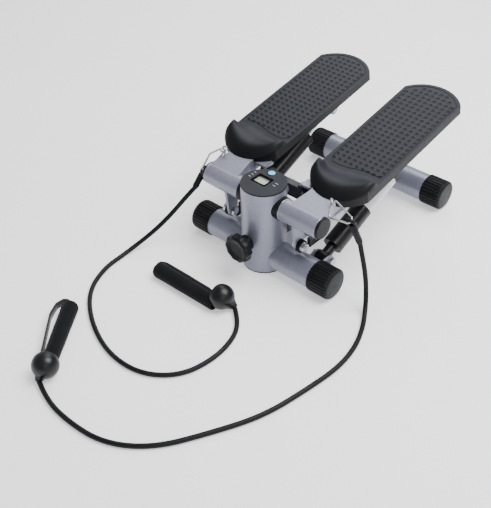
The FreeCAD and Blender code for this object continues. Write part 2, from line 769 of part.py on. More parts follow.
def strap_loop(start, direction, outline):
    """Webbing that runs through the grip and back outside it, from (along, aside) points."""
    across = V(direction.y, -direction.x, 0)
    places = [start + direction * along + across * aside for along, aside in outline]
    low = V(0, 0, -strap_width / 2)
    pieces = []
    for here, after in zip(places, places[1:] + places[:1]):
        run = after - here
        half = V(-run.y, run.x, 0).normalize() * (strap_thickness / 2)
        corners = [here + half + low, after + half + low, after - half + low, here - half + low]
        face = Part.Face(Part.makePolygon(corners + corners[:1]))
        pieces.append(face.extrude(V(0, 0, strap_width)))
        pieces.append(Part.makeCylinder(strap_thickness / 2, strap_width, here + low))
    return fuse(*pieces)


def make_handle(name, cord_points, dome_centre, grip_start, grip_direction, outline):
    centre = V(*dome_centre)
    tip = V(*cord_points[-1])
    heading = (tip - V(*cord_points[-2])).normalize()
    start = V(*grip_start)
    direction = V(*grip_direction).normalize()
    nose = Part.makeCone(cord_diameter / 2 + 1, dome_radius / 2, dome_radius * 0.7, tip, heading)
    dome = fuse(Part.makeSphere(dome_radius, centre), nose)
    reach = 3 * dome_radius
    behind = Part.makeCylinder(reach, reach, centre + direction * dome_skirt, direction)
    floor = Part.makeBox(2 * reach, 2 * reach, reach, centre - V(reach, reach, reach + centre.z))
    dome = dome.cut(behind).cut(floor)
    outer = Part.makeCylinder(grip_radius, grip_length, start, direction)
    strap = strap_loop(start, direction, outline)
    grip = outer.cut(Part.makeCylinder(grip_bore, grip_length, start, direction))
    save(name + "_handle_dome", dome.cut(outer).cut(strap))
    save(name + "_handle_grip", grip)
    return strap


left_cord_points = [
    (176.0, 23.7, 112.6), (184.0, 22.5, 88.0), (193.5, 20.5, 57.0), (202.0, 13.5, 27.0),
    (212.0, -1.0, 7.0), (227.0, -26.0, 4.0), (244.0, -66.0, 4.0), (252.0, -118.0, 4.0),
    (244.5, -182.0, 4.0), (230.0, -262.0, 4.0), (196.0, -332.0, 4.0), (155.0, -403.0, 4.0),
    (98.0, -443.0, 4.0), (32.0, -451.0, 4.0), (-26.0, -446.0, 4.0), (-62.0, -431.0, 6.5)]
right_cord_points = [
    (-136.5, -24.0, 101.0), (-144.0, -39.0, 86.0), (-154.0, -65.0, 61.0), (-168.0, -90.0, 36.0),
    (-183.0, -117.0, 15.0), (-190.0, -150.0, 4.0), (-187.0, -200.0, 4.0), (-160.0, -256.0, 4.0),
    (-100.0, -300.0, 4.0), (-28.0, -327.0, 4.0), (40.0, -324.0, 4.0), (88.0, -286.0, 4.0),
    (101.0, -228.0, 4.0), (93.0, -176.0, 4.0), (71.0, -143.0, 4.0), (47.0, -126.5, 7.0)]
left_hook = ((161.0, 17.5, 151.0), (116.5, 30.0, 159.5), (122.0, 14.0, 144.5))
right_hook = ((-136.0, -1.0, 124.0), (-116.5, 30.0, 159.5), (-127.0, 10.0, 157.0))
hooks = {"left": left_hook, "right": right_hook}
left_dome = (-65.6, -412.9, 21.0)
right_dome = (27.0, -133.7, 21.0)
left_grip_start = (-69.1, -408.1, 12.5)
left_grip_direction = (-0.591, 0.806, 0)
right_grip_start = (24.0, -146.4, 12.5)
right_grip_direction = (-1, -0.007, 0)
left_strap = [(-6, 0), (134, 0), (141, -5), (141, -14), (130, -23), (106, -26), (74, -22), (36, -17),
              (10, -14.7), (-2, -14.4), (-6, -10)]
right_strap = [(-6, 0), (134, 0), (138, 4), (138, 12), (128, 17), (84, 17.5), (30, 17),
               (10, 14.7), (-2, 14.4), (-6, 10)]


make_frame()
make_axle()
make_damper_bolts()
make_rocker()
make_adjuster()
make_console()
for side, name in ((1, "left"), (-1, "right")):
    make_sleeve(side, name)
    make_arm(side, name)
    make_pedal(side, name)
    make_damper(side, name)
make_band("left", left_hook, left_cord_points)
make_band("right", right_hook, right_cord_points)
straps = [make_handle("left", left_cord_points, left_dome, left_grip_start, left_grip_direction, left_strap),
          make_handle("right", right_cord_points, right_dome, right_grip_start, right_grip_direction,
                      right_strap)]
save("handle_straps", *straps)
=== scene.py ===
import math
import bmesh
import bpy
from mathutils import Matrix, Vector, noise


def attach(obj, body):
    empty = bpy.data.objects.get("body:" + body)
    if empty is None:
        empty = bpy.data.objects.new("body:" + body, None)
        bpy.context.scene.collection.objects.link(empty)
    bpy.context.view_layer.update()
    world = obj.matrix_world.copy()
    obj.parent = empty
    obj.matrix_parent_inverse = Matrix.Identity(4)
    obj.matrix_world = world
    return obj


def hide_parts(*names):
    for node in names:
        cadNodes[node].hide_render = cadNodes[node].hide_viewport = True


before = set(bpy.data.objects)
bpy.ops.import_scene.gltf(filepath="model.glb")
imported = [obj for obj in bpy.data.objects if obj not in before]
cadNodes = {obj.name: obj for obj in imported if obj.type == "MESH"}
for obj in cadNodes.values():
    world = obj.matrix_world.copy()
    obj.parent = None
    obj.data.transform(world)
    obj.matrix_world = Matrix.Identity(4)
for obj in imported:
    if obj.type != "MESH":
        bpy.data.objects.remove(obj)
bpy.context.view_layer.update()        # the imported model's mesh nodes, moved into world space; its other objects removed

mm = 0.001


def place(x, y, z):      # millimetres to metres
    return Vector((x, y, z)) * mm


# camera, floor and lights
view = {"position": (0.7690, -0.8564, 0.9489), "azimuth": 43.5458, "elevation": 39.1223, "roll": -1.7566,
        "lens": 61.70}


def setCamera():
    a, e, r = (math.radians(view[k]) for k in ("azimuth", "elevation", "roll"))
    back = Vector((math.sin(a) * math.cos(e), -math.cos(a) * math.cos(e), math.sin(e)))
    side = Vector((math.cos(a), math.sin(a), 0))
    up = back.cross(side)
    turnedSide = side * math.cos(r) + up * math.sin(r)
    turnedUp = up * math.cos(r) - side * math.sin(r)
    data = bpy.data.cameras.new("camera")
    data.lens = view["lens"]
    data.sensor_width = 36
    data.clip_end = 20
    camera = bpy.data.objects.new("camera", data)
    bpy.context.scene.collection.objects.link(camera)
    turn = Matrix((turnedSide, turnedUp, back)).transposed().to_4x4()
    camera.matrix_world = Matrix.Translation(Vector(view["position"])) @ turn
    bpy.context.scene.camera = camera


setCamera()
print("camera set")


def linear(hexColour):   # sRGB hex to the linear colour that a shader takes
    parts = [int(hexColour[i:i + 2], 16) / 255 for i in (1, 3, 5)]
    return tuple(c / 12.92 if c <= 0.04045 else ((c + 0.055) / 1.055) ** 2.4 for c in parts) + (1.0,)


def addNode(tree, kind, settings=None, links=None):      # one node, its settings and what feeds it
    node = tree.nodes.new(kind)
    for key, value in (settings or {}).items():
        if isinstance(key, int) or key in node.inputs:
            node.inputs[key].default_value = value
        else:
            setattr(node, key, value)
    for key, source in (links or {}).items():
        tree.links.new(source, node.inputs[key])
    return node


def startMaterial(name):
    material = bpy.data.materials.new(name)
    material.use_nodes = True
    tree = material.node_tree
    tree.nodes.clear()
    return material, tree


def endMaterial(tree, shader):
    addNode(tree, "ShaderNodeOutputMaterial", links={"Surface": shader.outputs[0]})


# every finish in this table is a blend of two close tones, a soft mottle in its gloss and a fine grain in its surface
def makeFinish(name, look):
    material, tree = startMaterial(name)
    spot = addNode(tree, "ShaderNodeTexCoord").outputs["Object"]
    if "stretch" in look:
        spot = addNode(tree, "ShaderNodeMapping", {"Scale": look["stretch"]}, {"Vector": spot}).outputs[0]
    cloud = addNode(tree, "ShaderNodeTexNoise", {"Scale": 1 / (look["cloud"] * mm), "Detail": 3.0}, {"Vector": spot})
    grain = addNode(tree, "ShaderNodeTexNoise", {"Scale": 1 / (look["grain"] * mm), "Detail": 2.0}, {"Vector": spot})
    mixed = addNode(tree, "ShaderNodeMath", {"operation": "MULTIPLY_ADD", 1: 0.45}, {0: grain.outputs["Fac"]})
    half = addNode(tree, "ShaderNodeMath", {"operation": "MULTIPLY", 1: 0.55}, {0: cloud.outputs["Fac"]})
    tree.links.new(half.outputs[0], mixed.inputs[2])
    spread = addNode(tree, "ShaderNodeMapRange", {"From Min": 0.36, "From Max": 0.64}, {"Value": mixed.outputs[0]})
    tones = {"data_type": "RGBA", 6: linear(look["dark"]), 7: linear(look["light"])}
    colour = addNode(tree, "ShaderNodeMix", tones, {0: spread.outputs[0]}).outputs[2]
    rough = addNode(tree, "ShaderNodeMapRange", {"From Min": 0.35, "From Max": 0.65, "To Min": look["rough"][0],
                    "To Max": look["rough"][1]}, {"Value": cloud.outputs["Fac"]})
    height = grain.outputs["Fac"]
    if look.get("cells"):
        cells = addNode(tree, "ShaderNodeTexVoronoi", {"Scale": 1 / (look["cells"] * mm)}, {"Vector": spot})
        height = cells.outputs["Distance"]
        # painted shade: each cell drawn darker in its hollow and a little lighter on its rim
        shade = addNode(tree, "ShaderNodeMapRange", {"From Min": 0.0, "From Max": 0.7, "To Min": 0.75, "To Max": 1.1},
                        {"Value": height})
        cellShadeTint = addNode(tree, "ShaderNodeMix", {"data_type": "RGBA", "blend_type": "MULTIPLY", 0: 1.0},
                       {6: colour, 7: shade.outputs[0]})
        colour = cellShadeTint.outputs[2]
    bump = addNode(tree, "ShaderNodeBump", {"Strength": look["strength"], "Distance": look["depth"] * mm},
                   {"Height": height})
    shader = addNode(tree, "ShaderNodeBsdfPrincipled",
                     {"Metallic": look.get("metallic", 0.0), "IOR": look.get("ior", 1.5),
                      "Coat Weight": look.get("coat", 0.0), "Coat Roughness": 0.12,
                      "Sheen Weight": look.get("sheen", 0.0), "Sheen Roughness": 0.5,
                      "Specular IOR Level": look.get("specular", 0.5),
                      "Anisotropic": look.get("brushed", 0.0)},
                     {"Base Color": colour, "Roughness": rough.outputs[0], "Normal": bump.outputs[0]})
    endMaterial(tree, shader)
    return material


finishes = {
    # moulded ABS: near black, fine spark-eroded grain that breaks the gloss up
    "grainedAbs": {"dark": "#0a0b0e", "light": "#141519", "cloud": 22, "grain": 0.9, "rough": (0.36, 0.48),
                   "strength": 0.22, "depth": 0.12, "ior": 1.54, "specular": 0.16},
    # polished ABS on the handle domes: smooth, with long soft highlights
    "smoothAbs": {"dark": "#090a0d", "light": "#121317", "cloud": 16, "grain": 1.6, "rough": (0.3, 0.4),
                  "strength": 0.08, "depth": 0.1, "ior": 1.54, "specular": 0.3},
    # moulded nitrile rubber: flat dark grey bloom over black
    "mattRubber": {"dark": "#0b0b0d", "light": "#161619", "cloud": 10, "grain": 0.8, "rough": (0.62, 0.78),
                   "strength": 0.3, "depth": 0.15, "ior": 1.52, "specular": 0.15},
    # dipped latex: smooth black skin with faint die lines, a satin gleam
    "latexRubber": {"dark": "#08080a", "light": "#121316", "cloud": 14, "grain": 1.4, "rough": (0.4, 0.55),
                    "strength": 0.2, "depth": 0.12, "ior": 1.52, "sheen": 0.03, "specular": 0.18},
    # closed-cell EVA foam: burst cells on a sliced skin, cells drawn 1.3 mm wide so that they show, with painted
    # shade in the cell hollows
    "cellFoam": {"dark": "#0a0b0d", "light": "#141518", "cloud": 18, "grain": 1.0, "cells": 1.3,
                 "rough": (0.78, 0.92), "strength": 0.55, "depth": 0.35, "ior": 1.45, "sheen": 0.06,
                 "specular": 0.12},
    # moulded polypropylene console: mid grey with a satin, lightly sparked face
    "consoleAbs": {"dark": "#191b20", "light": "#25282f", "cloud": 20, "grain": 0.8, "rough": (0.46, 0.58),
                   "strength": 0.2, "depth": 0.1, "ior": 1.5, "specular": 0.2},
    # acetal bushes: milky off-white, waxy
    "waxyAcetal": {"dark": "#c3c1b6", "light": "#d8d6cc", "cloud": 9, "grain": 1.0, "rough": (0.32, 0.42),
                   "strength": 0.1, "depth": 0.08, "ior": 1.48},
    # turned carbon steel: bright, faint turning lines drawn 0.5 mm apart so that they show
    "turnedSteel": {"dark": "#85878b", "light": "#c4c6ca", "cloud": 12, "grain": 0.5, "rough": (0.2, 0.34),
                    "strength": 0.12, "depth": 0.05, "metallic": 1.0, "stretch": (3, 1, 1), "brushed": 0.3},
    # bright zinc plate: blue-white with soft grey clouds
    "zincPlate": {"dark": "#9a9ca3", "light": "#d5d7dc", "cloud": 6, "grain": 0.9, "rough": (0.22, 0.4),
                  "strength": 0.12, "depth": 0.05, "metallic": 1.0},
    # stoved black enamel on the cylinders: deep gloss over slight orange peel
    "blackEnamel": {"dark": "#08080b", "light": "#121217", "cloud": 24, "grain": 2.4, "rough": (0.36, 0.46),
                    "strength": 0.14, "depth": 0.12, "coat": 0.08, "ior": 1.5, "specular": 0.3},
    # dark grey enamel on the rocker: satin, a little thin on the faces
    "greyEnamel": {"dark": "#1f2225", "light": "#2e3135", "cloud": 12, "grain": 1.2, "rough": (0.36, 0.5),
                   "strength": 0.2, "depth": 0.12, "ior": 1.5, "coat": 0.05, "specular": 0.3},
    # glossy polystyrene push button: light blue
    "blueStyrene": {"dark": "#149fe0", "light": "#35b8f2", "cloud": 5, "grain": 0.8, "rough": (0.18, 0.26),
                    "strength": 0.06, "depth": 0.05, "coat": 0.3, "ior": 1.59},
    # liquid crystal panel: grey-green, flat, slightly silky
    "crystalPanel": {"dark": "#88937f", "light": "#9aa58f", "cloud": 9, "grain": 0.7, "rough": (0.3, 0.4),
                     "strength": 0.04, "depth": 0.02, "ior": 1.5},
    # screen-printed white ink: chalky, a little thin
    "whiteInk": {"dark": "#85869a", "light": "#a9aabd", "cloud": 3, "grain": 0.6, "rough": (0.5, 0.6),
                 "strength": 0.1, "depth": 0.03, "ior": 1.5},
    # near-black frame round the panel: painted shade on the walls of the panel's recess, with almost no gloss
    "recessShadeBlack": {"dark": "#030304", "light": "#070709", "cloud": 8, "grain": 0.7, "rough": (0.7, 0.8),
                  "strength": 0.1, "depth": 0.05, "specular": 0.06},
    # white coated paper wrap: smooth with a few soft wrinkles
    "paperWrap": {"dark": "#d8d8dc", "light": "#f0f0f2", "cloud": 14, "grain": 5.0, "rough": (0.4, 0.55),
                  "strength": 0.25, "depth": 0.25, "ior": 1.5},
    # glass-epoxy board: dark green with the weave just visible
    "epoxyBoard": {"dark": "#1d4a2c", "light": "#2b6a3c", "cloud": 8, "grain": 0.6, "rough": (0.35, 0.5),
                   "strength": 0.15, "depth": 0.05, "ior": 1.55},
    # nickel-plated cell can: warm bright metal
    "nickelCan": {"dark": "#a39f96", "light": "#cbc7bd", "cloud": 5, "grain": 0.8, "rough": (0.22, 0.32),
                  "strength": 0.08, "depth": 0.03, "metallic": 1.0},
}
finish = {name: makeFinish(name, look) for name, look in finishes.items()}


def makePaint():         # metallic powder coat: blue-grey, fine flake, orange peel of about 2 mm, rubbed patches
    paint = {"dark": "#6f7180", "light": "#9799a8", "rubbed": "#5f616d", "flake": 0.9, "peel": 2.2, "cloud": 45}
    material, tree = startMaterial("powderCoat")
    spot = addNode(tree, "ShaderNodeTexCoord").outputs["Object"]
    flake = addNode(tree, "ShaderNodeTexVoronoi", {"Scale": 1 / (paint["flake"] * mm)}, {"Vector": spot})
    flakeGrey = addNode(tree, "ShaderNodeSeparateColor", links={"Color": flake.outputs["Color"]})
    cloud = addNode(tree, "ShaderNodeTexNoise", {"Scale": 1 / (paint["cloud"] * mm), "Detail": 4.0}, {"Vector": spot})
    both = addNode(tree, "ShaderNodeMath", {"operation": "MULTIPLY_ADD", 1: 0.42}, {0: flakeGrey.outputs[0]})
    part = addNode(tree, "ShaderNodeMath", {"operation": "MULTIPLY", 1: 0.58}, {0: cloud.outputs["Fac"]})
    tree.links.new(part.outputs[0], both.inputs[2])
    tones = {"data_type": "RGBA", 6: linear(paint["dark"]), 7: linear(paint["light"])}
    colour = addNode(tree, "ShaderNodeMix", tones, {0: both.outputs[0]}).outputs[2]
    scuff = addNode(tree, "ShaderNodeTexNoise", {"Scale": 90.0, "Detail": 6.0, "Roughness": 0.75}, {"Vector": spot})
    worn = addNode(tree, "ShaderNodeMapRange", {"From Min": 0.66, "From Max": 0.76, "To Max": 0.6},
                   {"Value": scuff.outputs["Fac"]})
    final = addNode(tree, "ShaderNodeMix", {"data_type": "RGBA", 7: linear(paint["rubbed"])},
                    {0: worn.outputs[0], 6: colour})
    rough = addNode(tree, "ShaderNodeMapRange", {"From Min": 0.3, "From Max": 0.7, "To Min": 0.34, "To Max": 0.46},
                    {"Value": cloud.outputs["Fac"]})
    peel = addNode(tree, "ShaderNodeTexNoise", {"Scale": 1 / (paint["peel"] * mm), "Detail": 1.0}, {"Vector": spot})
    bump = addNode(tree, "ShaderNodeBump", {"Strength": 0.16, "Distance": 0.15 * mm}, {"Height": peel.outputs["Fac"]})
    shader = addNode(tree, "ShaderNodeBsdfPrincipled", {"Metallic": 0.45, "Coat Weight": 0.25, "Coat Roughness": 0.2},
                     {"Base Color": final.outputs[2], "Roughness": rough.outputs[0], "Normal": bump.outputs[0]})
    endMaterial(tree, shader)
    return material


finish["powderCoat"] = makePaint()


acrylic = {"dark": "#f4f6f2", "light": "#ffffff", "haze": 300.0, "alpha": 0.14, "rough": (0.03, 0.1)}


def makeClear():         # clear acrylic window: a clean gloss with the faintest haze
    material, tree = startMaterial("clearAcrylic")
    spot = addNode(tree, "ShaderNodeTexCoord").outputs["Object"]
    haze = addNode(tree, "ShaderNodeTexNoise", {"Scale": acrylic["haze"], "Detail": 3.0}, {"Vector": spot})
    rough = addNode(tree, "ShaderNodeMapRange", {"To Min": acrylic["rough"][0], "To Max": acrylic["rough"][1]},
                    {"Value": haze.outputs["Fac"]})
    tones = {"data_type": "RGBA", 6: linear(acrylic["dark"]), 7: linear(acrylic["light"])}
    tone = addNode(tree, "ShaderNodeMix", tones, {0: haze.outputs["Fac"]}).outputs[2]
    shader = addNode(tree, "ShaderNodeBsdfPrincipled", {"IOR": 1.49, "Alpha": acrylic["alpha"]},
                     {"Base Color": tone, "Roughness": rough.outputs[0]})
    endMaterial(tree, shader)
    return material


finish["clearAcrylic"] = makeClear()


pedalShape = {"halfWidth": 56.2, "toeTip": 37, "toeSide": 75, "heelSide": 336.6, "heelTip": 365, "skirt": 15,
              "centre": 94.2, "height": 149.8, "slope": 9.87, "dimpleAcross": 11.4, "dimpleAlong": 10.8,
              "dimpleSize": 3.9, "dimpleFrom": 113, "dimpleHalf": 47, "dimpleHeel": 59.0, "heelCentre": 295.2,
              "heelRadius": 69.8, "cupShare": 0.42}
# the three darkest tones here are painted shade: on the side walls, on the toe cup's outer face and in the dimples
treadLook = {"dark": "#15171d", "light": "#20232b", "wall": "#08090b", "hoodShade": "#07080a", "pitShade": "#050608",
             "grain": 0.9, "cloud": 40, "pitDepth": 1.2, "rough": (0.42, 0.54)}


def makeTread(name, side):   # moulded polypropylene: charcoal, sparked grain, rows of small round-ended dimples; painted shade darkens the side walls, the toe cup's outer face and the dimples
    material, tree = startMaterial(name)
    spot = addNode(tree, "ShaderNodeTexCoord").outputs["Object"]
    slope = math.radians(pedalShape["slope"])
    origin = (-side * pedalShape["centre"] * mm, 0, -pedalShape["height"] * mm)
    moved = addNode(tree, "ShaderNodeMapping", {"Location": origin}, {"Vector": spot})
    turned = addNode(tree, "ShaderNodeMapping", {"Rotation": (-slope, 0, 0), "Scale": (1000, 1000, 1000)},
                     {"Vector": moved.outputs[0]})
    axes = addNode(tree, "ShaderNodeSeparateXYZ", links={"Vector": turned.outputs[0]})
    across, along = axes.outputs[0], axes.outputs[1]
    pitchX, pitchY = pedalShape["dimpleAcross"], pedalShape["dimpleAlong"]
    cellX = addNode(tree, "ShaderNodeMath", {"operation": "SNAP", 1: pitchX}, {0: addNode(
        tree, "ShaderNodeMath", {"operation": "ADD", 1: pitchX / 2}, {0: across}).outputs[0]}).outputs[0]
    cellY = addNode(tree, "ShaderNodeMath", {"operation": "SNAP", 1: pitchY}, {0: addNode(
        tree, "ShaderNodeMath", {"operation": "ADD", 1: pitchY / 2}, {0: along}).outputs[0]}).outputs[0]
    offX = addNode(tree, "ShaderNodeMath", {"operation": "SUBTRACT"}, {0: across, 1: cellX}).outputs[0]
    offY = addNode(tree, "ShaderNodeMath", {"operation": "SUBTRACT"}, {0: along, 1: cellY}).outputs[0]
    thin = addNode(tree, "ShaderNodeMath", {"operation": "MULTIPLY", 1: 0.78}, {0: offX}).outputs[0]
    offset = addNode(tree, "ShaderNodeCombineXYZ", links={0: thin, 1: offY})
    away = addNode(tree, "ShaderNodeVectorMath", {"operation": "LENGTH"}, {0: offset.outputs[0]}).outputs["Value"]
    hollow = addNode(tree, "ShaderNodeMapRange", {"interpolation_type": "SMOOTHSTEP", "From Min": 1.1,
                     "From Max": pedalShape["dimpleSize"], "To Min": 1.0, "To Max": 0.0}, {"Value": away}).outputs[0]
    farX = addNode(tree, "ShaderNodeMath", {"operation": "ABSOLUTE"}, {0: cellX}).outputs[0]
    inX = addNode(tree, "ShaderNodeMath", {"operation": "LESS_THAN", 1: pedalShape["dimpleHalf"]},
                  {0: farX}).outputs[0]
    inFront = addNode(tree, "ShaderNodeMath", {"operation": "GREATER_THAN", 1: pedalShape["dimpleFrom"]},
                      {0: cellY}).outputs[0]
    heel = addNode(tree, "ShaderNodeMath", {"operation": "SUBTRACT", 1: pedalShape["heelCentre"]}, {0: cellY})
    heelOver = addNode(tree, "ShaderNodeMath", {"operation": "MAXIMUM", 1: 0.0}, {0: heel.outputs[0]})
    heelSpot = addNode(tree, "ShaderNodeCombineXYZ", links={0: cellX, 1: heelOver.outputs[0]})
    heelFar = addNode(tree, "ShaderNodeVectorMath", {"operation": "LENGTH"},
                      {0: heelSpot.outputs[0]}).outputs["Value"]
    inHeel = addNode(tree, "ShaderNodeMath", {"operation": "LESS_THAN", 1: pedalShape["dimpleHeel"]},
                     {0: heelFar}).outputs[0]
    inTop = addNode(tree, "ShaderNodeMath", {"operation": "GREATER_THAN", 1: -2.0}, {0: axes.outputs[2]}).outputs[0]
    mask = hollow
    for part in (inX, inFront, inHeel, inTop):
        mask = addNode(tree, "ShaderNodeMath", {"operation": "MULTIPLY"}, {0: mask, 1: part}).outputs[0]
    grain = addNode(tree, "ShaderNodeTexNoise", {"Scale": 1 / (treadLook["grain"] * mm), "Detail": 2.0},
                    {"Vector": spot})
    cloud = addNode(tree, "ShaderNodeTexNoise", {"Scale": 1 / (treadLook["cloud"] * mm), "Detail": 3.0},
                    {"Vector": spot})
    tones = {"data_type": "RGBA", 6: linear(treadLook["dark"]), 7: linear(treadLook["light"])}
    base = addNode(tree, "ShaderNodeMix", tones, {0: cloud.outputs["Fac"]}).outputs[2]
    # painted shade: the pedal's side walls drawn near black below the tread
    wallShadeMask = addNode(tree, "ShaderNodeMapRange", {"interpolation_type": "SMOOTHSTEP", "From Min": -1.5,
                       "From Max": 0.2}, {"Value": axes.outputs[2]}).outputs[0]
    paintedShadeTone = addNode(tree, "ShaderNodeMix", {"data_type": "RGBA", 6: linear(treadLook["wall"])},
                     {0: wallShadeMask, 7: base})
    # painted shade: the toe cup's outer face drawn darker, by the mesh attribute that marks it
    hoodShade = addNode(tree, "ShaderNodeAttribute", {"attribute_name": "hoodShade"}).outputs["Fac"]
    paintedShadeTone = addNode(tree, "ShaderNodeMix", {"data_type": "RGBA", 7: linear(treadLook["hoodShade"])},
                     {0: hoodShade, 6: paintedShadeTone.outputs[2]})
    # painted shade: the dimples drawn darker than the tread, on top of their bump
    pitShadedTone = addNode(tree, "ShaderNodeMix", {"data_type": "RGBA", 7: linear(treadLook["pitShade"])},
                     {0: mask, 6: paintedShadeTone.outputs[2]})
    depth = addNode(tree, "ShaderNodeMath", {"operation": "MULTIPLY_ADD", 1: -1.0}, {0: mask})
    fine = addNode(tree, "ShaderNodeMath", {"operation": "MULTIPLY", 1: 0.12}, {0: grain.outputs["Fac"]})
    tree.links.new(fine.outputs[0], depth.inputs[2])
    bump = addNode(tree, "ShaderNodeBump", {"Strength": 0.8, "Distance": treadLook["pitDepth"] * mm},
                   {"Height": depth.outputs[0]})
    rough = addNode(tree, "ShaderNodeMapRange", {"From Min": 0.3, "From Max": 0.7,
                    "To Min": treadLook["rough"][0], "To Max": treadLook["rough"][1]},
                    {"Value": grain.outputs["Fac"]})
    shader = addNode(tree, "ShaderNodeBsdfPrincipled", {"IOR": 1.49, "Specular IOR Level": 0.22},
                     {"Base Color": pitShadedTone.outputs[2], "Roughness": rough.outputs[0], "Normal": bump.outputs[0]})
    endMaterial(tree, shader)
    return material


tape = {"dark": "#0c0c0f", "light": "#2a2b30", "weave": 1.1, "fuzz": 900.0, "rough": (0.7, 0.85)}


def makeWebbing():       # woven polyester tape: black, matt, soft sheen, weave coarsened to 1.1 mm so that it shows
    material, tree = startMaterial("wovenPolyester")
    cloth = addNode(tree, "ShaderNodeUVMap", {"uv_map": "weave"}).outputs[0]
    pitch = 0.314 / tape["weave"] * 1000     # a wave of scale 1 repeats every 0.314
    warp = addNode(tree, "ShaderNodeTexWave", {"Scale": pitch, "bands_direction": "X"}, {"Vector": cloth})
    weft = addNode(tree, "ShaderNodeTexWave", {"Scale": pitch, "bands_direction": "Y"}, {"Vector": cloth})
    weave = addNode(tree, "ShaderNodeMath", {"operation": "MULTIPLY"},
                    {0: warp.outputs["Fac"], 1: weft.outputs["Fac"]})
    fuzz = addNode(tree, "ShaderNodeTexNoise", {"Scale": tape["fuzz"], "Detail": 3.0}, {"Vector": cloth})
    tone = addNode(tree, "ShaderNodeMath", {"operation": "MULTIPLY"}, {0: weave.outputs[0], 1: fuzz.outputs["Fac"]})
    tones = {"data_type": "RGBA", 6: linear(tape["dark"]), 7: linear(tape["light"])}
    colour = addNode(tree, "ShaderNodeMix", tones, {0: tone.outputs[0]}).outputs[2]
    bump = addNode(tree, "ShaderNodeBump", {"Strength": 0.5, "Distance": 0.3 * mm}, {"Height": weave.outputs[0]})
    rough = addNode(tree, "ShaderNodeMapRange", {"To Min": tape["rough"][0], "To Max": tape["rough"][1]},
                    {"Value": fuzz.outputs["Fac"]})
    shader = addNode(tree, "ShaderNodeBsdfPrincipled", {"IOR": 1.5, "Sheen Weight": 0.3},
                     {"Base Color": colour, "Roughness": rough.outputs[0], "Normal": bump.outputs[0]})
    endMaterial(tree, shader)
    return material


finish["wovenPolyester"] = makeWebbing()
print("finishes made")


# resistance bands
bands = {"diameter": 8, "sides": 6}
cordPoints = {
    "left": [(176, 23.7, 112.6), (184, 22.5, 88), (193.5, 20.5, 57), (202, 13.5, 27), (212, -1, 7), (227, -26, 4),
             (244, -66, 4), (252, -118, 4), (244.5, -182, 4), (230, -262, 4), (196, -332, 4), (155, -403, 4),
             (98, -443, 4), (32, -451, 4), (-26, -446, 4), (-62, -431, 6.5)],
    "right": [(-136.5, -24, 101), (-144, -39, 86), (-154, -65, 61), (-168, -90, 36), (-183, -117, 15),
              (-190, -150, 4),
              (-187, -200, 4), (-160, -256, 4), (-100, -300, 4), (-28, -327, 4), (40, -324, 4), (88, -286, 4),
              (101, -228, 4), (93, -176, 4), (71, -143, 4), (47, -126.5, 7)]}


def makeCord(hand):
    curve = bpy.data.curves.new(hand + "_band", "CURVE")
    curve.dimensions = "3D"
    line = curve.splines.new("NURBS")
    line.points.add(len(cordPoints[hand]) - 1)
    for point, spot in zip(line.points, cordPoints[hand]):
        point.co = (*place(*spot), 1)
    line.order_u = 3
    line.use_endpoint_u = True
    line.resolution_u = 12
    curve.bevel_depth = bands["diameter"] / 2 * mm
    curve.bevel_resolution = bands["sides"]
    curve.use_fill_caps = True
    cord = bpy.data.objects.new(hand + "_band", curve)
    bpy.context.scene.collection.objects.link(cord)
    curve.materials.append(finish["latexRubber"])
    return cord


def finishPiece(name, bm, body, materials, replaced=(), smoothAngle=35, merge=True):
    if merge:
        bmesh.ops.remove_doubles(bm, verts=bm.verts, dist=1e-6)
        bmesh.ops.recalc_face_normals(bm, faces=bm.faces)
    mesh = bpy.data.meshes.new(name)
    bm.to_mesh(mesh)
    bm.free()
    mesh.shade_smooth()
    mesh.set_sharp_from_angle(angle=math.radians(smoothAngle))
    for material in materials:
        mesh.materials.append(material)
    piece = bpy.data.objects.new(name, mesh)
    bpy.context.scene.collection.objects.link(piece)
    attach(piece, body)
    if replaced:
        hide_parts(*replaced)
    return piece


def turnProfile(bm, profile, steps=48, closed=False):    # (radius, height) profile turned about Z
    verts = [bm.verts.new((radius * mm, 0, height * mm)) for radius, height in profile]
    edges = [bm.edges.new(pair) for pair in zip(verts, verts[1:] + verts[:1] if closed else verts[1:])]
    bmesh.ops.spin(bm, geom=verts + edges, cent=(0, 0, 0), axis=(0, 0, 1), angle=math.tau, steps=steps,
                   use_merge=True)
    bmesh.ops.remove_doubles(bm, verts=bm.verts, dist=1e-6)


def aimAlong(direction):     # turns Z to a direction
    return Vector(direction).normalized().to_track_quat("Z", "Y").to_matrix().to_4x4()


def moveAll(bm, matrix):
    bmesh.ops.transform(bm, matrix=matrix, verts=bm.verts)


def vertsOf(geometry):
    return [item for item in geometry if isinstance(item, bmesh.types.BMVert)]


def edgesOf(geometry):
    return [item for item in geometry if isinstance(item, bmesh.types.BMEdge)]


handles = {
    "left": {"dome": (-65.6, -412.9, 21), "start": (-69.1, -408.1, 12.5), "along": (-0.591, 0.806, 0),
             "loop": [(-6, 0), (134, 0), (141, -5), (141, -14), (130, -23), (106, -26), (74, -22), (36, -17),
                      (10, -14.7), (-2, -14.4), (-6, -10)]},
    "right": {"dome": (27, -133.7, 21), "start": (24, -146.4, 12.5), "along": (-1, -0.007, 0),
              "loop": [(-6, 0), (134, 0), (138, 4), (138, 12), (128, 17), (84, 17.5), (30, 17),
                       (10, 14.7), (-2, 14.4), (-6, 10)]}}
handleSizes = {"domeRadius": 21, "skirt": 12, "gripRadius": 12.5, "bore": 8, "gripLength": 128, "gripSwell": 1.5,
               "gripExtra": 7, "strapWidth": 13, "strapThickness": 2.5}
floorGap = 0.2           # what rests on the floor stays this far above it


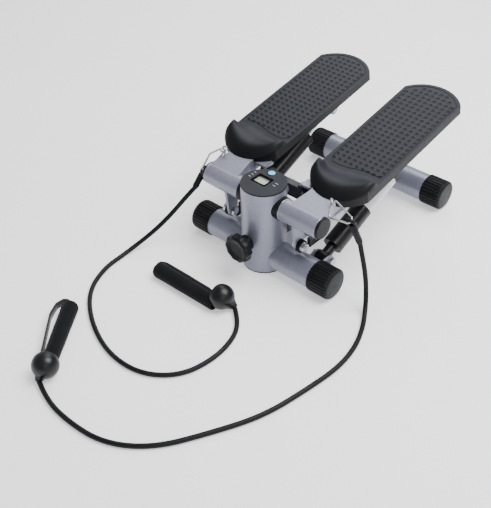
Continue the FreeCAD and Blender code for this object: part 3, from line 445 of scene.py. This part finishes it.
def makeDome(hand):      # hollow moulded cup over the end of the grip, with a beaded rim and a nose to the band
    radius, skirt = handleSizes["domeRadius"], handleSizes["skirt"]
    spec = handles[hand]
    bm = bmesh.new()
    rim = math.sqrt(radius ** 2 - skirt ** 2)
    profile = [(0.01, skirt - 5), (12, skirt - 5), (rim - 2.4, skirt - 2), (rim - 1.4, skirt - 0.2),
               (rim, skirt - 0.4), (rim + 0.9, skirt - 2), (rim + 0.9, skirt - 3.2), (rim + 0.4, skirt - 4)]
    top = math.acos((skirt - 4) / radius)
    for step in range(13):
        angle = top + (math.radians(162) - top) * step / 12
        profile.append((radius * math.sin(angle), radius * math.cos(angle)))
    profile.append((0.01, -radius))
    turnProfile(bm, profile, 48)
    moveAll(bm, Matrix.Translation(place(*spec["dome"])) @ aimAlong(spec["along"]))
    nose = bmesh.new()
    tip = Vector(cordPoints[hand][-1])
    turnProfile(nose, [(0.01, -3), (4.6, -3), (5.4, -2), (6.0, 0), (8.2, 4), (11.5, 8), (14.5, 12), (0.01, 12)], 32)
    moveAll(nose, Matrix.Translation(tip * mm) @ aimAlong(Vector(spec["dome"]) - tip))
    joined = bpy.data.meshes.new("nose")
    nose.to_mesh(joined)
    nose.free()
    bm.from_mesh(joined)
    bpy.data.meshes.remove(joined)
    for vert in bm.verts:
        vert.co.z = max(vert.co.z, floorGap * mm)
    return finishPiece(hand + "_dome", bm, "frame", [finish["smoothAbs"]], [hand + "_handle_dome"], 40)


def makeGrip(hand):      # foam tube with soft ends, slightly dented where it was squeezed
    spec = handles[hand]
    outer, bore, length = handleSizes["gripRadius"], handleSizes["bore"], handleSizes["gripLength"]
    bm = bmesh.new()
    swell, tall = handleSizes["gripSwell"], length + handleSizes["gripExtra"]
    profile = [(bore, 3), (bore + 1.2, 0.6), (outer - 2, 0), (outer - 0.6, 0.9), (outer, 3)]
    profile += [(outer + swell * (step / 14) ** 1.3, 3 + (tall - 11) * step / 14) for step in range(1, 15)]
    profile += [(outer + swell - 0.5, tall - 5), (outer + swell - 2, tall - 2.2), (outer + swell - 4.4, tall - 0.4),
                (bore + 1.2, tall), (bore, tall - 2)]
    turnProfile(bm, profile, 40, closed=True)
    for vert in bm.verts:
        around = Vector((vert.co.x, vert.co.y, 0))
        dent = noise.noise(vert.co * 38) * 0.35 * mm
        vert.co += around.normalized() * (dent - 0.3 * mm)
    moveAll(bm, Matrix.Translation(place(*spec["start"])) @ aimAlong(spec["along"]))
    for vert in bm.verts:
        vert.co.z = max(vert.co.z, floorGap * mm)
    return finishPiece(hand + "_grip", bm, "frame", [finish["cellFoam"]], [hand + "_handle_grip"], 50)


def makeStrap(hand):     # webbing loop through the grip and back beside it
    spec = handles[hand]
    direction = Vector(spec["along"]).normalized()
    across = Vector((direction.y, -direction.x, 0))
    start = Vector(spec["start"])
    half = (handleSizes["strapWidth"] / 2 - 0.4) * mm
    bm = bmesh.new()
    corners = [bm.verts.new((start + direction * a + across * s) * mm - Vector((0, 0, half)))
               for a, s in spec["loop"]]
    for pair in zip(corners, corners[1:] + corners[:1]):
        bm.edges.new(pair)
    bmesh.ops.bevel(bm, geom=corners, offset=2.6 * mm, offset_type="OFFSET", affect="VERTICES", segments=4,
                    profile=0.5, material=-1)
    bm.edges.ensure_lookup_table()
    edge = bm.edges[0]
    first, spot, distance = edge.verts[0], edge.verts[0], 0.0
    along = {spot: 0.0}
    while True:          # distance round the loop, for the weave
        following = edge.other_vert(spot)
        distance += edge.calc_length()
        if following is first:
            break
        along[following] = distance
        edge = [e for e in following.link_edges if e is not edge][0]
        spot = following
    bm.verts.index_update()
    lengths = {vert.index: reach for vert, reach in along.items()}
    keep = bm.verts.layers.float.new("reach")
    for vert in bm.verts:
        vert[keep] = lengths[vert.index]
    raised = bmesh.ops.extrude_edge_only(bm, edges=bm.edges[:])["geom"]
    lifted = vertsOf(raised)
    bmesh.ops.translate(bm, verts=lifted, vec=(0, 0, 2 * half))
    weave = bm.loops.layers.uv.new("weave")
    total = distance
    for face in bm.faces:
        reaches = [loop.vert[keep] for loop in face.loops]
        wraps = max(reaches) - min(reaches) > total / 2
        for loop in face.loops:
            reach = loop.vert[keep]
            if wraps and reach < total / 2:
                reach += total
            loop[weave].uv = (reach, loop.vert.co.z)
    bmesh.ops.recalc_face_normals(bm, faces=bm.faces)
    strap = finishPiece(hand + "_strap", bm, "frame", [finish["wovenPolyester"]], merge=False, smoothAngle=60)
    thick = strap.modifiers.new("thickness", "SOLIDIFY")
    thick.thickness = (handleSizes["strapThickness"] - 0.7) * mm
    thick.offset = 0
    return strap


hookCorners = {"left": ((161, 17.5, 151), (116.5, 30, 159.5), (122, 14, 144.5)),
               "right": ((-136, -1, 124), (-116.5, 30, 159.5), (-127, 10, 157))}


def hookRun(hand):       # the way the hook's wire runs through the band's fold
    top, eye, tail = (Vector(corner) for corner in hookCorners[hand])
    flat = (eye - top).cross(tail - top)
    return flat.cross((top + eye + tail) / 3 - top)


def makeBandEnd(hand):   # band folded through the hook and gripped by a ridged collar
    top = hookCorners[hand][0]
    tip = Vector(cordPoints[hand][0])
    heading = (tip - Vector(top)).normalized()
    length = (tip - Vector(top)).length
    bm = bmesh.new()
    turnProfile(bm, [(4.6, 6), (5.6, 7), (5.9, 8.5), (5.2, 10), (5.9, 11.5), (5.2, 13), (5.9, 14.5), (5.2, 16),
                     (5.9, 17.5), (5.3, 19), (5.5, length - 4), (4.7, length - 0.5), (3.6, length + 1.5),
                     (0.01, length + 1.5)], 32)
    moveAll(bm, Matrix.Translation(place(*top)) @ aimAlong(heading))
    ring = bmesh.new()
    circle = bmesh.ops.create_circle(ring, segments=14, radius=2.7 * mm)["verts"]
    bmesh.ops.rotate(ring, verts=circle, cent=(0, 0, 0), matrix=Matrix.Rotation(math.pi / 2, 3, "X"))
    bmesh.ops.translate(ring, verts=circle, vec=(6.5 * mm, 0, 0))
    bmesh.ops.spin(ring, geom=circle + ring.edges[:], cent=(0, 0, 0), axis=(0, 0, 1), angle=math.tau, steps=36,
                   use_merge=True)
    moveAll(ring, Matrix.Translation(place(*top)) @ aimAlong(hookRun(hand)))
    mesh = bpy.data.meshes.new("ring")
    ring.to_mesh(mesh)
    ring.free()
    bm.from_mesh(mesh)
    bpy.data.meshes.remove(mesh)
    return finishPiece(hand + "_band_fold", bm, "frame", [finish["latexRubber"]], [hand + "_band_end"], 50)


def makeToeAndTread(hand):   # one moulding: flat tread, raised toe cup, deep skirt
    shape = pedalShape
    side = 1 if hand == "left" else -1
    across, along = 44, 150
    bm = bmesh.new()
    bmesh.ops.create_grid(bm, x_segments=across, y_segments=along, size=0.5)
    hoodShade = bm.verts.layers.float.new("hoodShade")      # painted shade on the cup's outer face: 1 there, fading over its crest
    toeDrop = shape["toeSide"] - shape["toeTip"]
    toeCentre = (shape["halfWidth"] ** 2 + toeDrop ** 2) / (2 * toeDrop)
    heelDrop = shape["heelTip"] - shape["heelSide"]
    heelRadius = (shape["halfWidth"] ** 2 + heelDrop ** 2) / (2 * heelDrop)
    for vert in bm.verts:
        u, v = vert.co.x * 2, vert.co.y + 0.5        # across -1..1, along 0..1
        x = math.sin(u * math.pi / 2) * shape["halfWidth"]
        front = shape["toeTip"] + toeCentre - math.sqrt(toeCentre ** 2 - x ** 2)
        back = shape["heelTip"] - heelRadius + math.sqrt(heelRadius ** 2 - x ** 2)
        edgeS = cupEdge(x * side)
        share = shape["cupShare"]
        if v < share:                                 # the cup takes the first rows
            t = v / share
            s = front + (edgeS - front) * (t ** 1.35)
        else:
            t = (v - share) / (1 - share)
            s = edgeS + (back - edgeS) * t
        vert.co = Vector((x, s, cupHeight(x, s, front, edgeS))) * mm
        reach = (s - front) / (edgeS - front)
        vert[hoodShade] = min(1.0, max(0.0, (0.5 + 0.2 * abs(u) - reach) / 0.3))
    rim = [edge for edge in bm.edges if edge.is_boundary]
    walls = bmesh.ops.extrude_edge_only(bm, edges=rim)["geom"]
    low = vertsOf(walls)
    for vert in low:
        vert.co.z = min(vert.co.z, 0.0) - 1.6 * mm
    for drop in (-5, -10, -15):
        edges = edgesOf(walls)
        walls = bmesh.ops.extrude_edge_only(bm, edges=edges)["geom"]
        low = vertsOf(walls)
        for vert in low:
            vert.co.z = drop * mm
    bottom = edgesOf(walls)
    inner = bmesh.ops.extrude_edge_only(bm, edges=bottom)["geom"]
    for vert in vertsOf(inner):
        vert.co.x *= 0.95
        vert.co.y += (200 * mm - vert.co.y) * 0.018
    inside = bmesh.ops.extrude_edge_only(bm, edges=edgesOf(inner))["geom"]
    for vert in vertsOf(inside):
        vert.co.z = -4 * mm
    bmesh.ops.holes_fill(bm, edges=edgesOf(inside), sides=0)
    moveAll(bm, pedalPlace(side))
    return finishPiece(hand + "_pedal_moulding", bm, hand + "_step", [finish[hand + "Tread"]], [hand + "_pedal"], 48)


def cupEdge(x):          # where the toe cup meets the tread, a shallow wave across the pedal
    bends = [(-56.2, 107), (-34, 101.5), (-13, 103), (9, 109), (30, 113), (46, 109), (56.2, 106)]
    for (x0, s0), (x1, s1) in zip(bends, bends[1:]):
        if x <= x1:
            t = max(0.0, (x - x0) / (x1 - x0))
            return s0 + (s1 - s0) * t * t * (3 - 2 * t)
    return bends[-1][1]


def cupHeight(x, s, front, edgeS):   # crest that rises out of the front wall, then a scoop down to the tread
    if s >= edgeS - 0.01:
        return 0.0
    sideways = abs(x) / 56.2
    rounding = max(0.0, (sideways - 0.86) / 0.14) ** 2.5 * 4.5
    crest = 10.5 + 5.5 * sideways ** 2 - rounding
    crestAt = 0.36 + 0.26 * sideways ** 3
    t = (s - front) / (edgeS - front)
    if t < crestAt:
        k = t / crestAt
        start = -3.0 + 9.0 * sideways ** 4
        return start + (crest - start) * math.sin(k * math.pi / 2) ** 0.85
    k = (t - crestAt) / (1 - crestAt)
    return crest * (0.5 + 0.5 * math.cos(k * math.pi)) ** (1.0 + 0.2 * sideways)


def pedalPlace(side):    # from the pedal's own plane to the row frame
    return (Matrix.Translation(place(side * pedalShape["centre"], 0, pedalShape["height"]))
            @ Matrix.Rotation(math.radians(pedalShape["slope"]), 4, "X"))


treadRim = {"inset": 5.5, "width": 1.4, "height": 0.8, "from": 119, "behindCup": 7, "corner": 9, "sunk": 0.1,
            "stations": (38, 22, 6, -10, -26, -40)}


def makeTreadRim(hand):  # low plain line that borders the dimpled field
    shape, side = pedalShape, 1 if hand == "left" else -1
    reach = shape["halfWidth"] - treadRim["inset"]
    heelRadius = shape["heelRadius"] - treadRim["inset"]
    sweep = math.asin(reach / heelRadius)
    centre = (0, shape["heelCentre"] * mm, 0)
    bm = bmesh.new()
    first = bm.verts.new((reach * mm, centre[1] + heelRadius * math.cos(sweep) * mm, 0))
    bmesh.ops.spin(bm, geom=[first], cent=centre, axis=(0, 0, 1), angle=2 * sweep, steps=20)
    bm.verts.ensure_lookup_table()
    ends = [vert for vert in bm.verts if len(vert.link_edges) == 1]
    fronts = [bm.verts.new((end.co.x, treadRim["from"] * mm, 0)) for end in ends]
    for end, start in zip(ends, fronts):
        bm.edges.new((end, start))
    facing = 1 if ends[0].co.x > 0 else -1
    middles = [bm.verts.new((x * mm * facing, (cupEdge(x * side * facing) + treadRim["behindCup"]) * mm, 0))
               for x in treadRim["stations"]]
    chain = [fronts[0]] + middles + [fronts[1]]
    for pair in zip(chain, chain[1:]):
        bm.edges.new(pair)
    bmesh.ops.contextual_create(bm, geom=bm.edges[:])
    bmesh.ops.bevel(bm, geom=fronts, offset=treadRim["corner"] * mm, affect="VERTICES", segments=5, profile=0.5,
                    material=-1)
    bmesh.ops.recalc_face_normals(bm, faces=bm.faces)
    band = bmesh.ops.inset_region(bm, faces=bm.faces[:], thickness=treadRim["width"] * mm, use_boundary=True,
                                  use_even_offset=True)["faces"]
    bmesh.ops.delete(bm, geom=[face for face in bm.faces if face not in band], context="FACES")
    raised = bmesh.ops.extrude_face_region(bm, geom=bm.faces[:])["geom"]
    lifted = vertsOf(raised)
    bmesh.ops.translate(bm, verts=lifted, vec=(0, 0, treadRim["height"] * mm))
    bmesh.ops.translate(bm, verts=bm.verts, vec=(0, 0, -treadRim["sunk"] * mm))
    moveAll(bm, pedalPlace(side))
    piece = finishPiece(hand + "_tread_line", bm, hand + "_step", [finish[hand + "Tread"]], smoothAngle=40)
    soften = piece.modifiers.new("soften", "BEVEL")
    soften.width = 0.35 * mm
    soften.segments = 2
    return piece


capShape = {"radius": 27, "from": 111.2, "length": 39.8, "ribs": 30, "ribDepth": 1.3, "round": 6, "height": 27,
            "bore": 25.3, "boreDepth": 35, "frontAt": 0, "rearAt": 324}


def makeCaps(name, at, node):    # ribbed end caps, one pair of a tube
    shape = capShape
    bm = bmesh.new()
    ring = bmesh.ops.create_circle(bm, segments=shape["ribs"] * 4, radius=shape["radius"] * mm)["verts"]
    for number, vert in enumerate(ring):
        if number % 4 > 1:
            vert.co *= 1 - shape["ribDepth"] / shape["radius"]
    straight = shape["length"] - shape["round"]
    steps = [(0.8, 1.0), (straight * 0.5, 1.0), (straight, 1.0)]
    for k in range(1, 7):
        turn = k * math.pi / 12
        steps.append((straight + shape["round"] * math.sin(turn),
                      1 - shape["round"] / shape["radius"] * (1 - math.cos(turn))))
    steps += [(shape["length"] + 0.3, 0.5), (shape["length"] + 0.4, 0.2)]
    edges = bm.edges[:]
    current = edges
    for height, scale in steps:
        made = bmesh.ops.extrude_edge_only(bm, edges=current)["geom"]
        for vert in vertsOf(made):
            flat = Vector((vert.co.x, vert.co.y, 0))
            want = nearestRib(flat, shape, scale)
            vert.co = Vector((want.x, want.y, height * mm))
        current = edgesOf(made)
    bmesh.ops.holes_fill(bm, edges=current, sides=0)
    inner = bmesh.ops.extrude_edge_only(bm, edges=edges)["geom"]
    for vert in vertsOf(inner):
        vert.co = Vector((vert.co.x, vert.co.y, 0)).normalized() * shape["bore"] * mm
    deep = bmesh.ops.extrude_edge_only(bm, edges=edgesOf(inner))["geom"]
    for vert in vertsOf(deep):
        vert.co.z = shape["boreDepth"] * mm
    bmesh.ops.holes_fill(bm, edges=edgesOf(deep), sides=0)
    moveAll(bm, Matrix.Translation(place(shape["from"], at, shape["height"])) @ Matrix.Rotation(math.pi / 2, 4, "Y"))
    bmesh.ops.mirror(bm, geom=bm.verts[:] + bm.edges[:] + bm.faces[:], axis="X", merge_dist=1e-6)
    return finishPiece(name, bm, "frame", [finish["grainedAbs"]], [node], 32)


def nearestRib(flat, shape, scale):      # keeps the ribs at full size, and fades them as the end closes in
    angle = math.atan2(flat.y, flat.x)
    number = round(angle / math.tau * shape["ribs"] * 4) % 4
    depth = shape["ribDepth"] if number > 1 else 0
    fade = max(0.0, (scale - 0.7) / 0.3)
    radius = (shape["radius"] * scale - depth * fade) * mm
    return Vector((math.cos(angle), math.sin(angle), 0)) * radius


knobShape = {"lobes": 10, "radius": 24.6, "swell": 0.9, "depth": 17, "face": -73, "hub": 14, "hubEnd": -42,
             "height": 63}


def makeKnob():          # lobed hand knob with a dished face and a round hub
    shape = knobShape
    bm = bmesh.new()
    ring = bmesh.ops.create_circle(bm, segments=shape["lobes"] * 14, radius=mm)["verts"]
    start = bm.edges[:]

    def setRing(verts, scale, height, lobed=1.0):
        for vert in verts:
            angle = math.atan2(vert.co.y, vert.co.x)
            radius = (shape["radius"] + shape["swell"] * math.cos(shape["lobes"] * angle) * lobed) * scale
            vert.co = Vector((math.cos(angle) * radius, math.sin(angle) * radius, height)) * mm

    setRing(ring, 0.9, 0)
    hub = bmesh.ops.extrude_edge_only(bm, edges=start)["geom"]
    setRing(vertsOf(hub), shape["hub"] / shape["radius"], 0.6, 0)
    stem = bmesh.ops.extrude_edge_only(bm, edges=edgesOf(hub))["geom"]
    hubLength = shape["hubEnd"] - shape["face"] - shape["depth"]
    setRing(vertsOf(stem), shape["hub"] / shape["radius"], -hubLength, 0)
    bmesh.ops.holes_fill(bm, edges=edgesOf(stem), sides=0)
    current = start
    for scale, height, lobed in ((0.97, 0.8, 1), (1.0, 2.6, 1), (1.0, 7, 1), (0.99, 11.5, 1), (0.95, 13.6, 1),
                                 (0.88, 14.8, 1), (0.78, 15, 0.8), (0.7, 14.4, 0.5), (0.6, 13.2, 0.2),
                                 (0.4, 12.8, 0), (0.2, 12.8, 0)):
        made = bmesh.ops.extrude_edge_only(bm, edges=current)["geom"]
        setRing(vertsOf(made), scale, height, lobed)
        current = edgesOf(made)
    bmesh.ops.holes_fill(bm, edges=current, sides=0)
    moveAll(bm, Matrix.Translation(place(0, shape["face"] + shape["depth"], shape["height"]))
            @ Matrix.Rotation(math.pi / 2, 4, "X"))
    return finishPiece("hand_knob", bm, "knob", [finish["grainedAbs"]], ["knob"], 40)


rings = {"seamAt": (0, 0, 157.6), "seamRadius": 37.75, "buttonAt": (-6.5, 27.3, 159.95), "buttonRadius": 7.0,
         "sleeveEnds": (44.4, 118.4), "sleeveHeight": 126.8, "sleeveRadius": 18.6}


def makeRing(name, centre, axis, radius, thickness, body, material):     # plain round-section ring
    bm = bmesh.new()
    circle = bmesh.ops.create_circle(bm, segments=12, radius=thickness * mm)["verts"]
    bmesh.ops.rotate(bm, verts=circle, cent=(0, 0, 0), matrix=Matrix.Rotation(math.pi / 2, 3, "X"))
    bmesh.ops.translate(bm, verts=circle, vec=(radius * mm, 0, 0))
    bmesh.ops.spin(bm, geom=circle + bm.edges[:], cent=(0, 0, 0), axis=(0, 0, 1), angle=math.tau, steps=72,
                   use_merge=True)
    moveAll(bm, Matrix.Translation(place(*centre)) @ aimAlong(axis))
    return finishPiece(name, bm, body, [material], smoothAngle=60)


consoleShape = {"top": 160, "windowCentre": (-6, 3), "window": (30, 24), "frame": 2.9, "frameDrop": 3.0,
                "frameCorner": 1.2}


def makeConsoleFrame():  # sloping frame between the console's face and the panel, coloured near black as painted shade in the recess
    shape = consoleShape
    x, y = shape["windowCentre"]
    bm = bmesh.new()
    bmesh.ops.create_grid(bm, x_segments=1, y_segments=1, size=0.5)
    bmesh.ops.scale(bm, verts=bm.verts, vec=(shape["window"][0] * mm, shape["window"][1] * mm, 1))
    bmesh.ops.bevel(bm, geom=bm.verts[:], offset=shape["frameCorner"] * mm, affect="VERTICES", segments=4,
                    profile=0.5, material=-1)
    outer = bmesh.ops.inset_region(bm, faces=bm.faces[:], thickness=shape["frame"] * mm, use_boundary=True,
                                   use_even_offset=True)["faces"]
    bmesh.ops.delete(bm, geom=[face for face in bm.faces if face not in outer], context="FACES")
    nearX, nearY = ((length / 2 - shape["frame"] + 0.2) * mm for length in shape["window"])
    for vert in bm.verts:
        isInner = abs(vert.co.x) < nearX and abs(vert.co.y) < nearY
        vert.co.z = (-shape["frameDrop"] if isInner else -0.1) * mm
    moveAll(bm, Matrix.Translation(place(x, y, shape["top"])))
    bmesh.ops.recalc_face_normals(bm, faces=bm.faces)
    piece = finishPiece("console_frame", bm, "frame", [finish["recessShadeBlack"]], smoothAngle=30)
    wall = piece.modifiers.new("wall", "SOLIDIFY")
    wall.thickness = 0.5 * mm
    return piece


consoleMarks = {"left": (-29.3, (-1.5, 5.5, 12.5)), "right": (19.2, (2.8, 9.6)), "size": (4.6, 1.3), "slant": 8,
                "rightStretch": 1.25, "thickness": 0.12}


def makeMarks():         # plain printed bars where the console's small print is
    bm = bmesh.new()
    for hand in ("left", "right"):
        x, rows = consoleMarks[hand]
        for number, y in enumerate(rows):
            made = bmesh.ops.create_grid(bm, x_segments=6, y_segments=1, size=0.5)["verts"]
            length, width = consoleMarks["size"]
            stretch = consoleMarks["rightStretch"] if hand == "right" else 1.0
            bmesh.ops.scale(bm, verts=made, vec=(length * stretch * mm, width * mm, 1))
            slant = Matrix.Rotation(math.radians(-consoleMarks["slant"]), 3, "Z")
            bmesh.ops.rotate(bm, verts=made, cent=(0, 0, 0), matrix=slant)
            bmesh.ops.translate(bm, verts=made, vec=place(x, y, consoleShape["top"] + 0.05))
    raised = bmesh.ops.extrude_face_region(bm, geom=bm.faces[:])["geom"]
    lifted = vertsOf(raised)
    bmesh.ops.translate(bm, verts=lifted, vec=(0, 0, consoleMarks["thickness"] * mm))
    return finishPiece("console_marks", bm, "frame", [finish["whiteInk"]])


wrapShape = {"radius": 17.62, "lifted": 17.75, "from": 112, "to": 186, "lip": 2, "pivot": (94.2, 40, 30),
             "lean": 22.78, "thickness": 0.15}


def makeWrap(hand):      # plain white wrap round the cylinder, its ends slightly lifted
    side = 1 if hand == "left" else -1
    bm = bmesh.new()
    shape = wrapShape
    turnProfile(bm, [(shape["lifted"], shape["from"]), (shape["radius"], shape["from"] + shape["lip"]),
                     (shape["radius"], shape["to"] - shape["lip"]), (shape["lifted"], shape["to"])], 64)
    tilt = math.radians(90 - shape["lean"])
    x, y, z = shape["pivot"]
    moveAll(bm, Matrix.Translation(place(side * x, y, z)) @ Matrix.Rotation(-tilt, 4, "X"))
    bmesh.ops.recalc_face_normals(bm, faces=bm.faces)
    piece = finishPiece(hand + "_cylinder_wrap", bm, hand + "_damper", [finish["paperWrap"]], smoothAngle=60)
    wall = piece.modifiers.new("paper", "SOLIDIFY")
    wall.thickness = shape["thickness"] * mm
    return piece


# cords and what is on them
cords, domes = {}, {}
for hand in ("left", "right"):
    cords[hand] = makeCord(hand)
    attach(cords[hand], "frame")
    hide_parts(hand + "_band_cord")
    domes[hand] = makeDome(hand)
    makeGrip(hand)
    makeStrap(hand)
    makeBandEnd(hand)
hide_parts("handle_straps")
print("bands and handles made")

for hand, side in (("left", 1), ("right", -1)):
    finish[hand + "Tread"] = makeTread(hand + "SparkedTread", side)
    makeToeAndTread(hand)
    makeTreadRim(hand)
print("pedals made")

makeCaps("front_caps_ribbed", capShape["frontAt"], "front_caps")
makeCaps("rear_caps_ribbed", capShape["rearAt"], "rear_caps")
makeKnob()
makeConsoleFrame()
makeMarks()
makeWrap("left")
makeRing("console_seam", rings["seamAt"], (0, 0, 1), rings["seamRadius"], 0.55, "frame", finish["grainedAbs"])
makeRing("button_ring", rings["buttonAt"], (0, 0, 1), rings["buttonRadius"], 0.5, "frame", finish["grainedAbs"])
for hand, side in (("left", 1), ("right", -1)):
    for number, x in enumerate(rings["sleeveEnds"]):
        makeRing(hand + "_sleeve_edge_" + str(number), (side * x, 0, rings["sleeveHeight"]), (1, 0, 0),
                 rings["sleeveRadius"], 0.6, hand + "_step", finish["turnedSteel"])
print("caps, knob and console made")

# the CAD nodes that keep their shape get their finish here
dressed = {
    "powderCoat": ["post", "front_tube", "rear_tube", "centre_beam", "left_sleeve", "right_sleeve", "left_pedal_arm",
                   "right_pedal_arm", "left_cylinder_bracket", "right_cylinder_bracket", "rocker_boss"],
    "mattRubber": ["left_bumper", "right_bumper", "left_roller", "right_roller", "post_foot"],
    "grainedAbs": ["axle_spacers", "left_sleeve_cap", "right_sleeve_cap"],
    "waxyAcetal": ["left_bushes", "right_bushes"],
    "turnedSteel": ["axle", "left_piston_rod", "right_piston_rod", "left_rod_pin", "right_rod_pin", "adjuster_screw"],
    "zincPlate": ["axle_bolts", "rocker_bolt", "cylinder_bolts", "left_bumper_bolt", "right_bumper_bolt",
                  "left_band_eye", "right_band_eye", "left_band_hook", "right_band_hook"],
    "blackEnamel": ["left_cylinder", "right_cylinder"],
    "greyEnamel": ["rocker_bar", "height_yoke"],
    "consoleAbs": ["console_housing"],
    "clearAcrylic": ["console_window"],
    "crystalPanel": ["lcd_panel"],
    "epoxyBoard": ["circuit_board"],
    "nickelCan": ["coin_cell"],
    "blueStyrene": ["console_button"],
}
for name, members in dressed.items():
    for member in members:
        for materialSlot in cadNodes[member].material_slots:
            materialSlot.material = finish[name]
print("frame dressed")


# studio
floorTone = {"dark": "#f3f3f5", "light": "#fafafb", "glow": "#ffffff", "glowStrength": 0.5, "size": 6.0}
backdropTone = {"colour": "#f4f6fa", "strength": 0.5}
lamps = {"key": ((0.75, 0.55, 2.1), 1.5, 78), "fill": ((1.5, -1.0, 1.1), 1.2, 6),    # position, size, power
         "rim": ((-0.9, 1.5, 1.7), 1.3, 22)}


def makeStudio():
    bm = bmesh.new()
    bmesh.ops.create_grid(bm, x_segments=1, y_segments=1, size=floorTone["size"] / 2)
    mesh = bpy.data.meshes.new("studio_floor")
    bm.to_mesh(mesh)
    bm.free()
    floor = bpy.data.objects.new("studio_floor", mesh)
    bpy.context.scene.collection.objects.link(floor)
    material, tree = startMaterial("paleFloor")
    spot = addNode(tree, "ShaderNodeTexCoord").outputs["Object"]
    cloud = addNode(tree, "ShaderNodeTexNoise", {"Scale": 3.0}, {"Vector": spot})
    tones = {"data_type": "RGBA", 6: linear(floorTone["dark"]), 7: linear(floorTone["light"])}
    tone = addNode(tree, "ShaderNodeMix", tones, {0: cloud.outputs["Fac"]})
    shader = addNode(tree, "ShaderNodeBsdfPrincipled",
                     {"Roughness": 0.9, "Specular IOR Level": 0.1, "Emission Color": linear(floorTone["glow"]),
                      "Emission Strength": floorTone["glowStrength"]},
                     {"Base Color": tone.outputs[2]})
    endMaterial(tree, shader)
    mesh.materials.append(material)
    world = bpy.data.worlds.new("studio")
    bpy.context.scene.world = world
    world.use_nodes = True
    backdrop = world.node_tree.nodes["Background"]
    backdrop.inputs["Color"].default_value = linear(backdropTone["colour"])
    backdrop.inputs["Strength"].default_value = backdropTone["strength"]
    for name, (position, size, power) in lamps.items():
        data = bpy.data.lights.new(name, "AREA")
        data.size = size
        data.energy = power
        lamp = bpy.data.objects.new(name, data)
        bpy.context.scene.collection.objects.link(lamp)
        aim = Vector((0, 0.05, 0.08)) - Vector(position)
        lamp.matrix_world = Matrix.Translation(position) @ aim.to_track_quat("-Z", "Y").to_matrix().to_4x4()


makeStudio()
print("studio lit")
